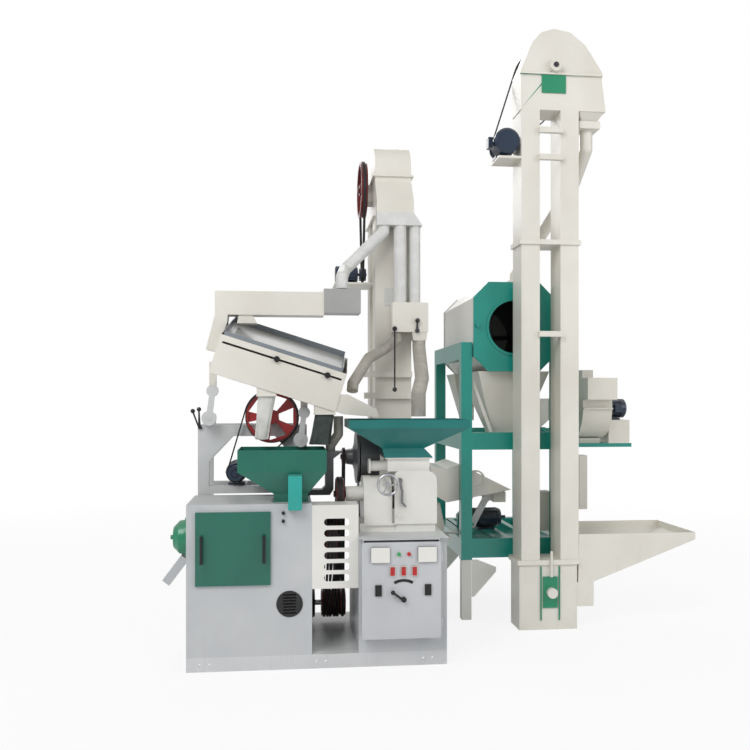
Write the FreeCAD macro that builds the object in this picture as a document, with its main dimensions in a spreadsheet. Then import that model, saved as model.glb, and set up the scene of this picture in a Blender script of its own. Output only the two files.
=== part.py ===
import FreeCAD, Part
import Sketcher
import math
import os
import re

# A combined rice milling plant, in millimetres: rice mill, huller, paddy separator and their
# bucket elevator on one base, with a drum cleaner, a destoner and an intake elevator beside it.
# Places are given from the base frame's front left corner at floor level: X to the right,
# Y to the back, Z up. Every sub-part's Placement then moves it to the part's own origin,
# the middle of the base frame's front channel on the floor.

doc = FreeCAD.newDocument("RiceMillingPlant")
sheet = doc.addObject("Spreadsheet::Sheet", "Sizes")
CELLS = []
DERIVED = {}
SUBPARTS = []


# ---- the sheet of sizes and the expressions that read it ----

def sizes(**cells):
    """Put plain numbers in the sheet, one alias each."""
    for alias, number in cells.items():
        CELLS.append(alias)
        cell = f"B{len(CELLS)}"
        sheet.set(f"A{len(CELLS)}", alias)
        sheet.set(cell, str(number))
        sheet.setAlias(cell, alias)
    sheet.recompute()


def derive(**formulas):
    """Name a formula of the sheet's sizes."""
    DERIVED.update(formulas)


def formula(text):
    """The expression with each alias looked up in the sheet and each derived name written out."""
    def word(found):
        name = found.group()
        if name in DERIVED:
            return "(" + formula(DERIVED[name]) + ")"
        return "Sizes." + name if name in CELLS else name
    return re.sub(r"\b[a-z][a-z0-9_]*\b", word, str(text))


def number(text):
    """What a formula comes to, in millimetres or degrees."""
    result = sheet.evalExpression(formula(text))
    return float(getattr(result, "Value", result))


def bind(thing, **properties):
    for name, text in properties.items():
        thing.setExpression(name.replace("__", "."), formula(text))


# ---- sketches and body features ----

def start_body(label):
    body = doc.addObject("PartDesign::Body", label)
    body.AllowCompound = True
    return body


def pin_point(sketch, edge, end, x, y):
    """Hold one point of a sketch at x, y from the sketch's origin."""
    for direction, text, axis in (("DistanceX", x, -2), ("DistanceY", y, -1)):
        if str(text) == "0":
            sketch.addConstraint(Sketcher.Constraint("PointOnObject", edge, end, axis))
            continue
        rule = Sketcher.Constraint(direction, -1, 1, edge, end, number(text))
        sketch.setExpression(f"Constraints[{sketch.addConstraint(rule)}]", formula(text))


def draw_circle(sketch, x, y, radius):
    centre = FreeCAD.Vector(number(x), number(y), 0)
    edge = sketch.addGeometry(Part.Circle(centre, FreeCAD.Vector(0, 0, 1), number(radius)))
    pin_point(sketch, edge, 3, x, y)
    rule = Sketcher.Constraint("Radius", edge, number(radius))
    sketch.setExpression(f"Constraints[{sketch.addConstraint(rule)}]", formula(radius))


def bulged(start, end, radius, left):
    """The arc from start to end that turns left or right, and whether it runs that way round."""
    chord = end - start
    reach = math.sqrt(max(radius ** 2 - chord.Length ** 2 / 4, 0))
    side = FreeCAD.Vector(-chord.y, chord.x, 0).normalize()
    centre = (start + end) / 2 + side * (reach if left else -reach)
    middle = centre + ((start + end) / 2 - centre - side * (1e-6 if left else -1e-6)).normalize() * radius
    return Part.Arc(start, middle, end)


def draw_outline(sketch, corners):
    """Close a loop through the corners; ("left" or "right", radius) before one bends the way to it."""
    points, bends = [], []
    for corner in corners:
        if corner[0] in ("left", "right"):
            bends.append((len(points), corner))
        else:
            points.append(corner)
    bends = dict(bends)
    places = [FreeCAD.Vector(number(x), number(y), 0) for x, y in points]
    ends = []
    for index, place in enumerate(places):
        following = places[(index + 1) % len(places)]
        bend = bends.get(index + 1)
        if bend is None:
            edge = sketch.addGeometry(Part.LineSegment(place, following))
            ends.append((edge, 1, 2))
            continue
        left = bend[0] == "left"
        edge = sketch.addGeometry(bulged(place, following, number(bend[1]), left))
        ends.append((edge, 1, 2) if left else (edge, 2, 1))
        rule = Sketcher.Constraint("Radius", edge, number(bend[1]))
        sketch.setExpression(f"Constraints[{sketch.addConstraint(rule)}]", formula(bend[1]))
    for index, (x, y) in enumerate(points):
        edge, start, finish = ends[index]
        before, _, end_before = ends[index - 1]
        sketch.addConstraint(Sketcher.Constraint("Coincident", before, end_before, edge, start))
        pin_point(sketch, edge, start, x, y)


def draw(body, plane, level, outlines):
    """A sketch on the body's XY, XZ or YZ plane, moved along that plane's axis to level."""
    sketch = body.newObject("Sketcher::SketchObject", "Outline")
    support = next(f for f in body.Origin.OriginFeatures if f.Role == plane + "_Plane")
    sketch.AttachmentSupport = [(support, "")]
    sketch.MapMode = "FlatFace"
    bind(sketch, AttachmentOffset__Base__z=f"-({level})" if plane == "XZ" else level)
    for outline in outlines:
        if outline[0] == "circle":
            draw_circle(sketch, *outline[1:])
        else:
            draw_outline(sketch, outline)
    return sketch


def pad(body, plane, start, length, *outlines):
    """Fill the outlines from start to start + length along the plane's axis."""
    level = f"{start} + ({length})" if plane == "XZ" else start
    feature = body.newObject("PartDesign::Pad", "Pad")
    feature.Profile = draw(body, plane, level, outlines)
    bind(feature, Length=length)
    return feature


def pocket(body, plane, start, length, *outlines):
    """Cut the outlines away from start to start + length along the plane's axis."""
    level = start if plane == "XZ" else f"{start} + ({length})"
    feature = body.newObject("PartDesign::Pocket", "Pocket")
    feature.Profile = draw(body, plane, level, outlines)
    bind(feature, Length=length)
    return feature


def revolve(body, *outlines, kind="Revolution"):
    """Turn outlines drawn in the XZ plane round the body's Z axis."""
    feature = body.newObject("PartDesign::" + kind, kind)
    sketch = draw(body, "XZ", "0", outlines)
    feature.Profile = sketch
    feature.ReferenceAxis = (sketch, ["V_Axis"])
    feature.Angle = 360
    return feature


def repeat_along(body, feature, role, count, span):
    """Repeat a feature count times over span along the body's X, Y or Z axis."""
    pattern = body.newObject("PartDesign::LinearPattern", "Row")
    pattern.Originals = [feature]
    axis = next(f for f in body.Origin.OriginFeatures if f.Role == role + "_Axis")
    pattern.Direction = (axis, [""])
    bind(pattern, Length=span)
    pattern.Occurrences = count
    body.Tip = pattern
    return pattern


def repeat_round(body, feature, count):
    """Repeat a feature count times round the body's Z axis."""
    pattern = body.newObject("PartDesign::PolarPattern", "Ring")
    pattern.Originals = [feature]
    axis = next(f for f in body.Origin.OriginFeatures if f.Role == "Z_Axis")
    pattern.Axis = (axis, [""])
    pattern.Angle = 360
    pattern.Occurrences = count
    body.Tip = pattern
    return pattern


def rectangle(x, width, y, height):
    right, top = f"{x} + {width}", f"{y} + {height}"
    return [(x, y), (right, y), (right, top), (x, top)]


def slot(x, y, width, height):
    """A round-ended slot lying along the sketch's X axis, centred on x, y."""
    flat = f"({width} - ({height})) / 2"
    low, high = f"{y} - ({height}) / 2", f"{y} + ({height}) / 2"
    half = f"({height}) / 2"
    return [(f"{x} - {flat}", low), (f"{x} + {flat}", low), ("left", half), (f"{x} + {flat} + {half}", y),
            ("left", half), (f"{x} + {flat}", high), (f"{x} - {flat}", high), ("left", half),
            (f"{x} - {flat} - {half}", y), ("left", half)]


# ---- simple solids ----

def move(thing, x="0", y="0", z="0"):
    bind(thing, Placement__Base__x=x, Placement__Base__y=y, Placement__Base__z=z)
    return thing


def aim(thing, axis):
    """Lay a thing made along Z along the X or Y axis instead, keeping its own X axis level."""
    turns = {"X": FreeCAD.Rotation(FreeCAD.Vector(0, 1, 0), 90),
             "Y": FreeCAD.Rotation(FreeCAD.Vector(1, 0, 0), -90),
             "Z": FreeCAD.Rotation()}
    thing.Placement = FreeCAD.Placement(thing.Placement.Base, turns[axis])
    return thing


def tilt(thing, axis, degrees):
    """Turn a thing about the X, Y or Z axis through its own origin by a bound angle."""
    directions = {"X": FreeCAD.Vector(1, 0, 0), "Y": FreeCAD.Vector(0, 1, 0), "Z": FreeCAD.Vector(0, 0, 1)}
    rotation = FreeCAD.Rotation(directions[axis], number(degrees))
    thing.Placement = FreeCAD.Placement(thing.Placement.Base, rotation)
    bind(thing, Placement__Rotation__Angle=degrees if number(degrees) > 0 else f"-({degrees})")
    return thing


def block(x, length, y, width, z, height):
    """A box from x, y, z."""
    thing = doc.addObject("Part::Box", "Block")
    bind(thing, Length=length, Width=width, Height=height)
    return move(thing, x, y, z)


def rod(axis, x, y, z, length, radius):
    """A cylinder from x, y, z along an axis."""
    thing = aim(doc.addObject("Part::Cylinder", "Rod"), axis)
    bind(thing, Radius=radius, Height=length)
    return move(thing, x, y, z)


def taper(base, top):
    """A block that tapers from base to top, each given as (x0, x1, y0, y1, z)."""
    thing = doc.addObject("Part::Wedge", "Taper")
    thing.Placement = FreeCAD.Placement(FreeCAD.Vector(), FreeCAD.Rotation(FreeCAD.Vector(1, 1, 1), 120))
    bind(thing, Zmin=base[0], Zmax=base[1], Xmin=base[2], Xmax=base[3], Ymin=base[4],
         Z2min=top[0], Z2max=top[1], X2min=top[2], X2max=top[3], Ymax=top[4])
    return thing


def walls(base, top, wall):
    """Four plates round a tapering space: front and back plates, with the side plates between them."""
    (x0, x1, y0, y1, z0), (u0, u1, v0, v1, z1) = base, top
    return [
        taper((x0, x1, y0, f"{y0} + {wall}", z0), (u0, u1, v0, f"{v0} + {wall}", z1)),
        taper((x0, x1, f"{y1} - {wall}", y1, z0), (u0, u1, f"{v1} - {wall}", v1, z1)),
        taper((x0, f"{x0} + {wall}", f"{y0} + {wall}", f"{y1} - {wall}", z0),
              (u0, f"{u0} + {wall}", f"{v0} + {wall}", f"{v1} - {wall}", z1)),
        taper((f"{x1} - {wall}", x1, f"{y0} + {wall}", f"{y1} - {wall}", z0),
              (f"{u1} - {wall}", u1, f"{v0} + {wall}", f"{v1} - {wall}", z1))]


def fuse(*things):
    thing = doc.addObject("Part::MultiFuse", "Fused")
    thing.Shapes = list(things)
    return thing


def cut(base, *tools):
    thing = doc.addObject("Part::Cut", "Cut")
    thing.Base = base
    thing.Tool = tools[0] if len(tools) == 1 else fuse(*tools)
    return thing


def group(*things):
    whole = doc.addObject("Part::Compound", "Group")
    whole.Links = list(things)
    return whole


def ball(x, y, z, radius):
    thing = doc.addObject("Part::Sphere", "Ball")
    bind(thing, Radius=radius)
    return move(thing, x, y, z)


def bar(start, finish, radius):
    """A round bar from one point to another."""
    steps = [f"(({after}) - ({before}))" for before, after in zip(start, finish)]
    thing = doc.addObject("Part::Cylinder", "Bar")
    bind(thing, Radius=radius, Height="sqrt(" + " + ".join(step + "^2" for step in steps) + ")")
    way = FreeCAD.Vector(*(number(step) for step in steps))
    thing.Placement = FreeCAD.Placement(FreeCAD.Vector(), FreeCAD.Rotation(FreeCAD.Vector(0, 0, 1), way))
    return move(thing, *start)


def pipe(radius, *points):
    """A round pipe or hose through the points, with a ball at each bend."""
    runs = [bar(start, finish, radius) for start, finish in zip(points, points[1:])]
    bends = [ball(*point, radius) for point in points[1:-1]]
    return fuse(*runs, *bends) if bends else runs[0]


def sheet_of(plane, level, thick, *outlines):
    """A flat plate cut to an outline; further outlines are holes in it."""
    body = start_body("plate")
    pad(body, plane, level, thick, *outlines)
    return body


def subpart(label, *things, x="0", y="0", z="0"):
    """Name a sub-part and move it from its place in the plant to the part's origin."""
    whole = doc.addObject("Part::Compound", label)
    whole.Links = list(things)
    whole.Label = label
    move(whole, f"{x} - origin_x", f"{y} - origin_y", z)
    SUBPARTS.append(whole)
    return whole


sizes(origin_x=694, origin_y=30, sheet_wall=4, panel_wall=3, fit=0.3)


def pulley(label, radius, width, bore, hub, grooves=1, windows=0):
    """A V-belt pulley round Z from 0 to width: grooved rim, web and hub, with windows between its spokes."""
    body = start_body(label)
    rim_inside = f"{radius} - pulley_rim"
    land = f"(({width}) - {grooves} * 2 * groove_half) / ({grooves} + 1)"
    outline = [(bore, "0"), (hub, "0"), (hub, f"({width} - pulley_web) / 2"),
               (rim_inside, f"({width} - pulley_web) / 2"), (rim_inside, "0"), (radius, "0")]
    for turn in range(grooves):
        low = f"{land} + {turn} * ({land} + 2 * groove_half)"
        outline += [(radius, low), (f"{radius} - groove_deep", f"{low} + groove_half"),
                    (radius, f"{low} + 2 * groove_half")]
    outline += [(radius, width), (rim_inside, width), (rim_inside, f"({width} + pulley_web) / 2"),
                (hub, f"({width} + pulley_web) / 2"), (hub, width), (bore, width)]
    revolve(body, outline)
    if windows:
        inner, outer = f"{hub} + 8", f"{rim_inside} - 8"
        opening = pocket(body, "XY", "0", width, [
            (inner, f"-({inner}) * spoke_gap"), (outer, f"-({outer}) * spoke_gap"),
            (outer, f"({outer}) * spoke_gap"), (inner, f"({inner}) * spoke_gap")])
        repeat_round(body, opening, windows)
    return body


def motor(x, y, z, towards, radius, length, shaft):
    """A fan-cooled motor: ribbed barrel, shields, fan cowl, shaft, foot and terminal box.

    x, y, z is the middle of the shaft-end shield, and the barrel runs from there towards a direction."""
    barrel = start_body("motor_barrel")
    revolve(barrel, [("0", "0"), (f"{radius} * 0.8", "0"), (f"{radius} * 0.95", f"{length} * 0.08"),
                     (f"{radius} * 0.95", f"{length} * 0.12"), (f"{radius} * 0.88", f"{length} * 0.12"),
                     (f"{radius} * 0.88", f"{length} * 0.72"), (f"{radius} * 0.97", f"{length} * 0.74"),
                     (f"{radius} * 0.97", f"{length} * 0.94"), (f"{radius} * 0.8", length), ("0", length)])
    fin = pad(barrel, "XY", f"{length} * 0.12", f"{length} * 0.6",
              rectangle(f"{radius} * 0.86", f"{radius} * 0.12", "-2", "4"))
    repeat_round(barrel, fin, 8)
    spindle = rod("Z", "0", "0", f"-({shaft})", shaft, f"{radius} * 0.16")
    foot = block(f"{radius} * 0.98", f"{radius} * 0.2", f"-({radius}) * 0.75", f"{radius} * 1.5",
                 f"{length} * 0.2", f"{length} * 0.5")
    box = block(f"-({radius}) * 0.4", f"{radius} * 0.8", f"-({radius}) * 1.33", f"{radius} * 0.35",
                f"{length} * 0.4", f"{length} * 0.3")
    whole = doc.addObject("Part::Compound", "Motor")
    whole.Links = [barrel, spindle, foot, box]
    ahead, down = FreeCAD.Vector(*towards), FreeCAD.Vector(0, 0, -1)
    whole.Placement = FreeCAD.Placement(FreeCAD.Vector(), FreeCAD.Rotation(down, ahead.cross(down), ahead, "ZXY"))
    return move(whole, x, y, z)


def belt(axis, level, width, start, start_radius, finish, finish_radius):
    """A closed belt round two pulleys that turn about the X or Y axis, as seen along that axis."""
    plane = "YZ" if axis == "X" else "XZ"
    (sx, sy), (fx, fy) = start, finish
    across, up = f"(({fx}) - ({sx}))", f"(({fy}) - ({sy}))"
    span = f"sqrt({across}^2 + {up}^2)"
    lean = f"((({start_radius}) - ({finish_radius})) / {span})"
    upright = f"sqrt(1 - {lean}^2)"
    ahead = (f"({across} / {span})", f"({up} / {span})")
    left = (f"({up} / {span} * -1)", f"({across} / {span})")

    def tangent(x, y, radius, side):
        return tuple(f"{middle} + {radius} * ({side} * {sideways} * {upright} + {forward} * {lean})"
                     for middle, sideways, forward in zip((x, y), left, ahead))

    def tip(x, y, radius, sign):
        return tuple(f"{middle} {sign} {radius} * {forward}" for middle, forward in zip((x, y), ahead))

    loops = []
    for extra in ("belt_thick + fit", "fit"):
        near, far = f"({start_radius} + {extra})", f"({finish_radius} + {extra})"
        loops.append([tangent(sx, sy, near, "1"), ("left", near), tip(sx, sy, near, "-"), ("left", near),
                      tangent(sx, sy, near, "-1"), tangent(fx, fy, far, "-1"), ("left", far),
                      tip(fx, fy, far, "+"), ("left", far), tangent(fx, fy, far, "1")])
    return sheet_of(plane, level, width, *loops)



# ---- base frame ----

sizes(base_length=1388, base_depth=880, base_height=75, base_web=6, base_flange=60, base_flange_thick=7,
      bolt_hole_radius=6, bolt_hole_height=38, bolt_pair_gap=50, bolt_pair_first=94, bolt_pair_middle=707,
      bolt_pair_last=1283, base_cross_x=663, deck_thick=5)


def channel_outline(flange, height, thick, web):
    """A channel's section: web on the left, flanges to the right."""
    inside = f"{height} - {thick}"
    return [("0", "0"), (flange, "0"), (flange, thick), (web, thick), (web, inside), (flange, inside),
            (flange, height), ("0", height)]


channel = channel_outline("base_flange", "base_height", "base_flange_thick", "base_web")
front_rail = start_body("front_rail")
pad(front_rail, "YZ", "0", "base_length", channel)
holes = []
for middle in ("bolt_pair_first", "bolt_pair_middle", "bolt_pair_last"):
    for side in ("-", "+"):
        holes.append(("circle", f"{middle} {side} bolt_pair_gap / 2", "bolt_hole_height", "bolt_hole_radius"))
pocket(front_rail, "XZ", "0", "base_web", *holes)
back_rail = start_body("back_rail")
pad(back_rail, "YZ", "0", "base_length",
    [(f"base_depth - ({x})", y) for x, y in reversed(channel)])
cross_rails = [block(x, "base_flange_thick", "base_flange", "base_depth - 2 * base_flange", "0", "base_height")
               for x in ("0", "base_cross_x", "base_length - base_flange_thick")]
deck = [block(start, length, "base_flange", "base_depth - 2 * base_flange", "base_height - deck_thick", "deck_thick")
        for start, length in (("base_flange_thick", "base_cross_x - base_flange_thick"),
                              ("base_cross_x + base_flange_thick",
                               "base_length - base_cross_x - 2 * base_flange_thick"))]
subpart("base_frame", front_rail, back_rail, *cross_rails, *deck)

# ---- rice mill ----

sizes(cabinet_width=659, cabinet_depth=454, cabinet_height=800, door_left=48, door_width=392, door_base=453,
      door_height=387, door_lap=12, door_thick=14, handle_inset=34, handle_length=147, handle_radius=8,
      handle_reach=28, grille_x=540, grille_height=348, grille_radius=70, grille_thick=3, grille_slot=7,
      mill_axis_y=230, mill_axis_height=676, shaft_radius=22, shaft_clearance=0.05, bearing_radius=55,
      bearing_length=24, screen_radius=84, screen_length=300, screen_start=80, screen_flange=112,
      screen_flange_thick=10, rotor_radius=62, rotor_rib=14, mill_pulley_x=740, mill_pulley_width=60,
      mill_pulley_radius=160, pulley_rim=18, pulley_web=14, groove_half=7,
      groove_deep=9, spoke_gap=0.42, belt_thick=8, hopper_left=262, hopper_width=478, hopper_front=60, hopper_depth=370,
      hopper_rim_base=1042, hopper_rim=118, neck_left=455, neck_width=185, neck_front=90, neck_depth=160,
      neck_top=922, neck_flange=12, chute_left=532, chute_width=72, chute_front=56, chute_deep=50,
      chute_base=850, chute_top=1030, head_length=91, head_flange=109, head_flange_thick=28, head_radius=95,
      head_knob=12, spout_length=170, spout_width=100, spout_depth=48, spout_tilt=37, spout_height=448, dial_knob=9)
derive(cabinet_top="base_height + cabinet_height", hole_left="door_left + door_lap",
       hole_width="door_width - 2 * door_lap", hole_base="door_base + door_lap",
       hole_height="door_height - 2 * door_lap", bore="shaft_radius + shaft_clearance",
       panel_base="base_height", side_width="cabinet_width - hole_left - hole_width",
       neck_base="cabinet_top + sheet_wall")

lower_sheet = start_body("lower_sheet")
pad(lower_sheet, "XZ", "0", "sheet_wall", rectangle("0", "cabinet_width", "panel_base", "hole_base - panel_base"),
    ("circle", "grille_x", "grille_height", "grille_radius - 4"))
upper_sheets = [
    block("hole_left + hole_width", "side_width", "0", "sheet_wall", "hole_base", "cabinet_top - hole_base"),
    block("0", "hole_left", "0", "sheet_wall", "hole_base", "cabinet_top - hole_base"),
    block("hole_left", "hole_width", "0", "sheet_wall", "hole_base + hole_height",
          "cabinet_top - hole_base - hole_height")]
side_depth = "cabinet_depth - 2 * sheet_wall"
left_sheet = start_body("left_sheet")
pad(left_sheet, "YZ", "0", "sheet_wall", rectangle("sheet_wall", side_depth, "panel_base", "cabinet_height"),
    ("circle", "mill_axis_y", "mill_axis_height", "shaft_radius + 8"))
right_sheet = start_body("right_sheet")
pad(right_sheet, "YZ", "cabinet_width - sheet_wall", "sheet_wall",
    rectangle("sheet_wall", side_depth, "panel_base", "cabinet_height"),
    ("circle", "mill_axis_y", "mill_axis_height", "shaft_radius + 8"))
back_sheet = block("0", "cabinet_width", "cabinet_depth - sheet_wall", "sheet_wall", "panel_base", "cabinet_height")
top_sheet = start_body("top_sheet")
pad(top_sheet, "XY", "cabinet_top", "sheet_wall", rectangle("0", "cabinet_width", "0", "cabinet_depth"),
    rectangle("neck_left + panel_wall", "neck_width - 2 * panel_wall",
              "neck_front + panel_wall", "neck_depth - 2 * panel_wall"))
grille = start_body("grille")
pad(grille, "XZ", "-grille_thick", "grille_thick", ("circle", "grille_x", "grille_height", "grille_radius"))
first_slot = pocket(grille, "XZ", "-grille_thick", "grille_thick",
                    slot("grille_x", "grille_height - 48", "70", "grille_slot"))
repeat_along(grille, first_slot, "Z", 7, "96")
dial_knobs = [rod("Y", "507", "-14", height, "14", "dial_knob") for height in ("831", "788")]
bearing = start_body("mill_bearing")
pad(bearing, "YZ", "cabinet_width - sheet_wall - bearing_length", "bearing_length",
    ("circle", "mill_axis_y", "mill_axis_height", "bearing_radius"), ("circle", "mill_axis_y", "mill_axis_height", "bore"))
subpart("mill_cabinet", lower_sheet, *upper_sheets, left_sheet, right_sheet, back_sheet, top_sheet, grille,
        *dial_knobs, bearing)

door_pan = start_body("door_pan")
pad(door_pan, "XZ", "-door_thick - fit", "door_thick", rectangle("door_left", "door_width", "door_base", "door_height"))
pocket(door_pan, "XZ", "-door_thick - fit + panel_wall", "door_thick - panel_wall",
       rectangle("door_left + panel_wall", "door_width - 2 * panel_wall",
                 "door_base + panel_wall", "door_height - 2 * panel_wall"))
handles = []
for across in ("door_left + handle_inset", "door_left + door_width - handle_inset"):
    low = "door_base + (door_height - handle_length) / 2"
    bar_depth = "-door_thick - fit - handle_reach"
    grip_bar = rod("Z", across, bar_depth, low, "handle_length", "handle_radius")
    posts = [rod("Y", across, bar_depth, height, "handle_reach", "handle_radius * 0.7")
             for height in (f"{low} + 2 * handle_radius", f"{low} + handle_length - 2 * handle_radius")]
    handles.append(fuse(grip_bar, *posts))
subpart("mill_door", door_pan, *handles)

screen = start_body("screen")
revolve(screen, rectangle("screen_radius", "panel_wall", "0", "screen_length"))
window = pocket(screen, "YZ", "0", "screen_radius + 20", rectangle("-8", "16", "20", "screen_length - 40"))
repeat_round(screen, window, 8)
screen_rings = start_body("screen_rings")
revolve(screen_rings, rectangle("screen_radius + panel_wall", "screen_flange - screen_radius - panel_wall",
                                "0", "screen_flange_thick"),
        rectangle("screen_radius + panel_wall", "screen_flange - screen_radius - panel_wall",
                  "screen_length - screen_flange_thick", "screen_flange_thick"))
screen_bar = pad(screen_rings, "XY", "screen_flange_thick", "screen_length - 2 * screen_flange_thick",
                 ("circle", "screen_flange - 10", "0", "6"))
repeat_round(screen_rings, screen_bar, 6)
cradle = [block("screen_start", "screen_flange_thick", "mill_axis_y - 40", "80",
                "base_height", "mill_axis_height - screen_flange - base_height"),
          block("screen_start + screen_length - screen_flange_thick", "screen_flange_thick", "mill_axis_y - 40",
                "80", "base_height", "mill_axis_height - screen_flange - base_height")]
for part in (screen, screen_rings):
    move(aim(part, "X"), "screen_start", "mill_axis_y", "mill_axis_height")
subpart("mill_screen", screen, screen_rings, *cradle)

rotor = start_body("rotor")
hub_end = "screen_length - 30"
revolve(rotor, [("0", "-screen_start - 20"), ("shaft_radius", "-screen_start - 20"), ("shaft_radius", "15"),
                ("rotor_radius", "15"), ("rotor_radius", hub_end), ("shaft_radius", hub_end),
                ("shaft_radius", "mill_pulley_x + mill_pulley_width + 20 - screen_start"),
                ("0", "mill_pulley_x + mill_pulley_width + 20 - screen_start")])
rib = pad(rotor, "XY", "15", "screen_length - 45", rectangle("rotor_radius - 2", "rotor_rib + 2", "-6", "12"))
repeat_round(rotor, rib, 4)
mill_pulley = pulley("mill_pulley", "mill_pulley_radius", "mill_pulley_width", "shaft_radius", "45", 3)
move(aim(mill_pulley, "X"), "mill_pulley_x", "mill_axis_y", "mill_axis_height")
move(aim(rotor, "X"), "screen_start", "mill_axis_y", "mill_axis_height")
subpart("mill_rotor", rotor, mill_pulley)

rim_box = ("hopper_left", "hopper_left + hopper_width", "hopper_front", "hopper_front + hopper_depth")
neck_box = ("neck_left", "neck_left + neck_width", "neck_front", "neck_front + neck_depth")
flange_box = ("neck_left - neck_flange", "neck_left + neck_width + neck_flange",
              "neck_front - neck_flange", "neck_front + neck_depth + neck_flange")
rim_plates = walls(rim_box + ("hopper_rim_base",), rim_box + ("hopper_rim_base + hopper_rim",), "panel_wall")
funnel_plates = walls(neck_box + ("neck_top",), rim_box + ("hopper_rim_base",), "panel_wall")
neck_plates = walls(neck_box + ("neck_base + panel_wall",), neck_box + ("neck_top",), "panel_wall")
flange_plates = walls(flange_box + ("neck_base",), flange_box + ("neck_base + panel_wall",), "neck_flange + panel_wall")
chute = start_body("chute")
slope = "(neck_front - hopper_front) / (hopper_rim_base - neck_top)"
chute_knee = "chute_base + 110"
chute_outline = [("-chute_front", "chute_base"), ("chute_deep - chute_front", "chute_base"),
                 ("chute_deep - chute_front", chute_knee),
                 (f"hopper_front + {slope} * (hopper_rim_base - ({chute_knee}) - 30)", f"{chute_knee} + 30"),
                 (f"hopper_front + {slope} * (hopper_rim_base - chute_top)", "chute_top"),
                 ("-chute_front", "chute_top")]
pad(chute, "YZ", "chute_left", "chute_width", chute_outline)
pocket(chute, "YZ", "chute_left + panel_wall", "chute_width - 2 * panel_wall",
       rectangle("panel_wall - chute_front", "chute_deep - 2 * panel_wall", "chute_base - 1", "chute_top - chute_base - 10"))
subpart("mill_hopper", *rim_plates, fuse(chute, funnel_plates[0]), *funnel_plates[1:], *neck_plates, *flange_plates)

head = start_body("head")
revolve(head, [("0", "0"), ("head_radius * 0.6", "0"), ("head_radius * 0.95", "head_length * 0.35"),
               ("head_radius", "head_length - head_flange_thick"), ("head_flange", "head_length - head_flange_thick"),
               ("head_flange", "head_length"), ("bore", "head_length"), ("bore", "head_length - 22"),
               ("0", "head_length - 22")])
move(aim(head, "X"), "-head_length", "mill_axis_y", "mill_axis_height")
knob = rod("X", "-head_length - 18", "mill_axis_y", "mill_axis_height", "18", "head_knob")
trough = start_body("trough")
pad(trough, "XY", "0", "spout_length", rectangle("0", "spout_depth", "0", "spout_width"))
pocket(trough, "XY", "0", "spout_length",
       rectangle("panel_wall", "spout_depth - panel_wall", "panel_wall", "spout_width - 2 * panel_wall"))
tilt(move(trough, "-114.9 - spout_depth * 0.7", "mill_axis_y - spout_width / 2", "spout_height"), "Y", "spout_tilt")
subpart("mill_outlet_head", head, knob, trough)

sizes(guard_width=248, guard_base=424, guard_height=445, guard_depth=165, guard_slot_x=792, guard_slot_width=138,
      guard_slot_height=38, guard_slot_first=481, guard_slot_rows=297)
guard = start_body("guard")
pad(guard, "XZ", "0", "guard_depth", rectangle("cabinet_width", "guard_width", "guard_base", "guard_height"))
pocket(guard, "XZ", "panel_wall", "guard_depth", rectangle(
    "cabinet_width + panel_wall", "guard_width - 2 * panel_wall", "guard_base - 1", "guard_height - panel_wall + 1"))
guard_slot = pocket(guard, "XZ", "0", "panel_wall",
                    slot("guard_slot_x", "guard_slot_first", "guard_slot_width", "guard_slot_height"))
repeat_along(guard, guard_slot, "Z", 6, "guard_slot_rows")
subpart("belt_guard", guard)

# ---- main motor and drive ----

sizes(motor_radius=105, motor_length=320, motor_y=640, motor_end=695, motor_shaft=190,
      drive_radius=80, drive_start=735, drive_width=145)
derive(motor_axis_height="base_height + motor_radius * 1.18")
subpart("main_motor", motor("motor_end", "motor_y", "motor_axis_height", (-1, 0, 0), "motor_radius",
                            "motor_length", "motor_shaft"))
drive_pulley = pulley("drive_wheel", "drive_radius", "drive_width", "motor_radius * 0.16 + shaft_clearance", "34", 6)
subpart("drive_pulley", move(aim(drive_pulley, "X"), "drive_start", "motor_y", "motor_axis_height"))

# ---- huller and its stand ----

sizes(stand_left=908, stand_depth=640, stand_top=697, stand_plate=7, roof_front=45, huller_left=928,
      huller_length=423, huller_front=150, huller_depth=290, huller_base=48, gearbox_left=953, gearbox_length=157,
      gearbox_height=255, roll_case_left=1125, roll_case_length=229, roll_case_height=286, roll_case_corner=52,
      case_wall=6, cover_thick=11, roll_radius=62, roll_gap=1.5, roll_length=150, roll_start=1160, fast_roll_y=260,
      fast_roll_height=900, roll_drop=80, roll_shaft=18, huller_pulley_x=800, huller_pulley_radius=88,
      huller_pulley_width=44, bearing_cap_left=856, bearing_cap_radius=42, feed_box_left=1085, feed_box_width=236,
      feed_box_front=170, feed_box_depth=180, feed_box_height=70, feed_flange=14, feed_bearing_left=985,
      feed_bearing_radius=42, wheel_x=1072, wheel_height=970, wheel_radius=62, wheel_rim=7, wheel_y=40,
      spindle_radius=9, lever_x=1150, lever_height=985, lever_reach=150, lever_swing=11, lever_radius=7)
derive(huller_base_top="stand_top + huller_base", huller_back="huller_front + huller_depth",
       slow_roll_y="fast_roll_y + sqrt((2 * roll_radius + roll_gap)^2 - roll_drop^2)",
       slow_roll_height="fast_roll_height - roll_drop", stand_width="base_length - stand_left",
       case_top="huller_base_top + roll_case_height", roll_bore="roll_shaft + shaft_clearance")

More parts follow.
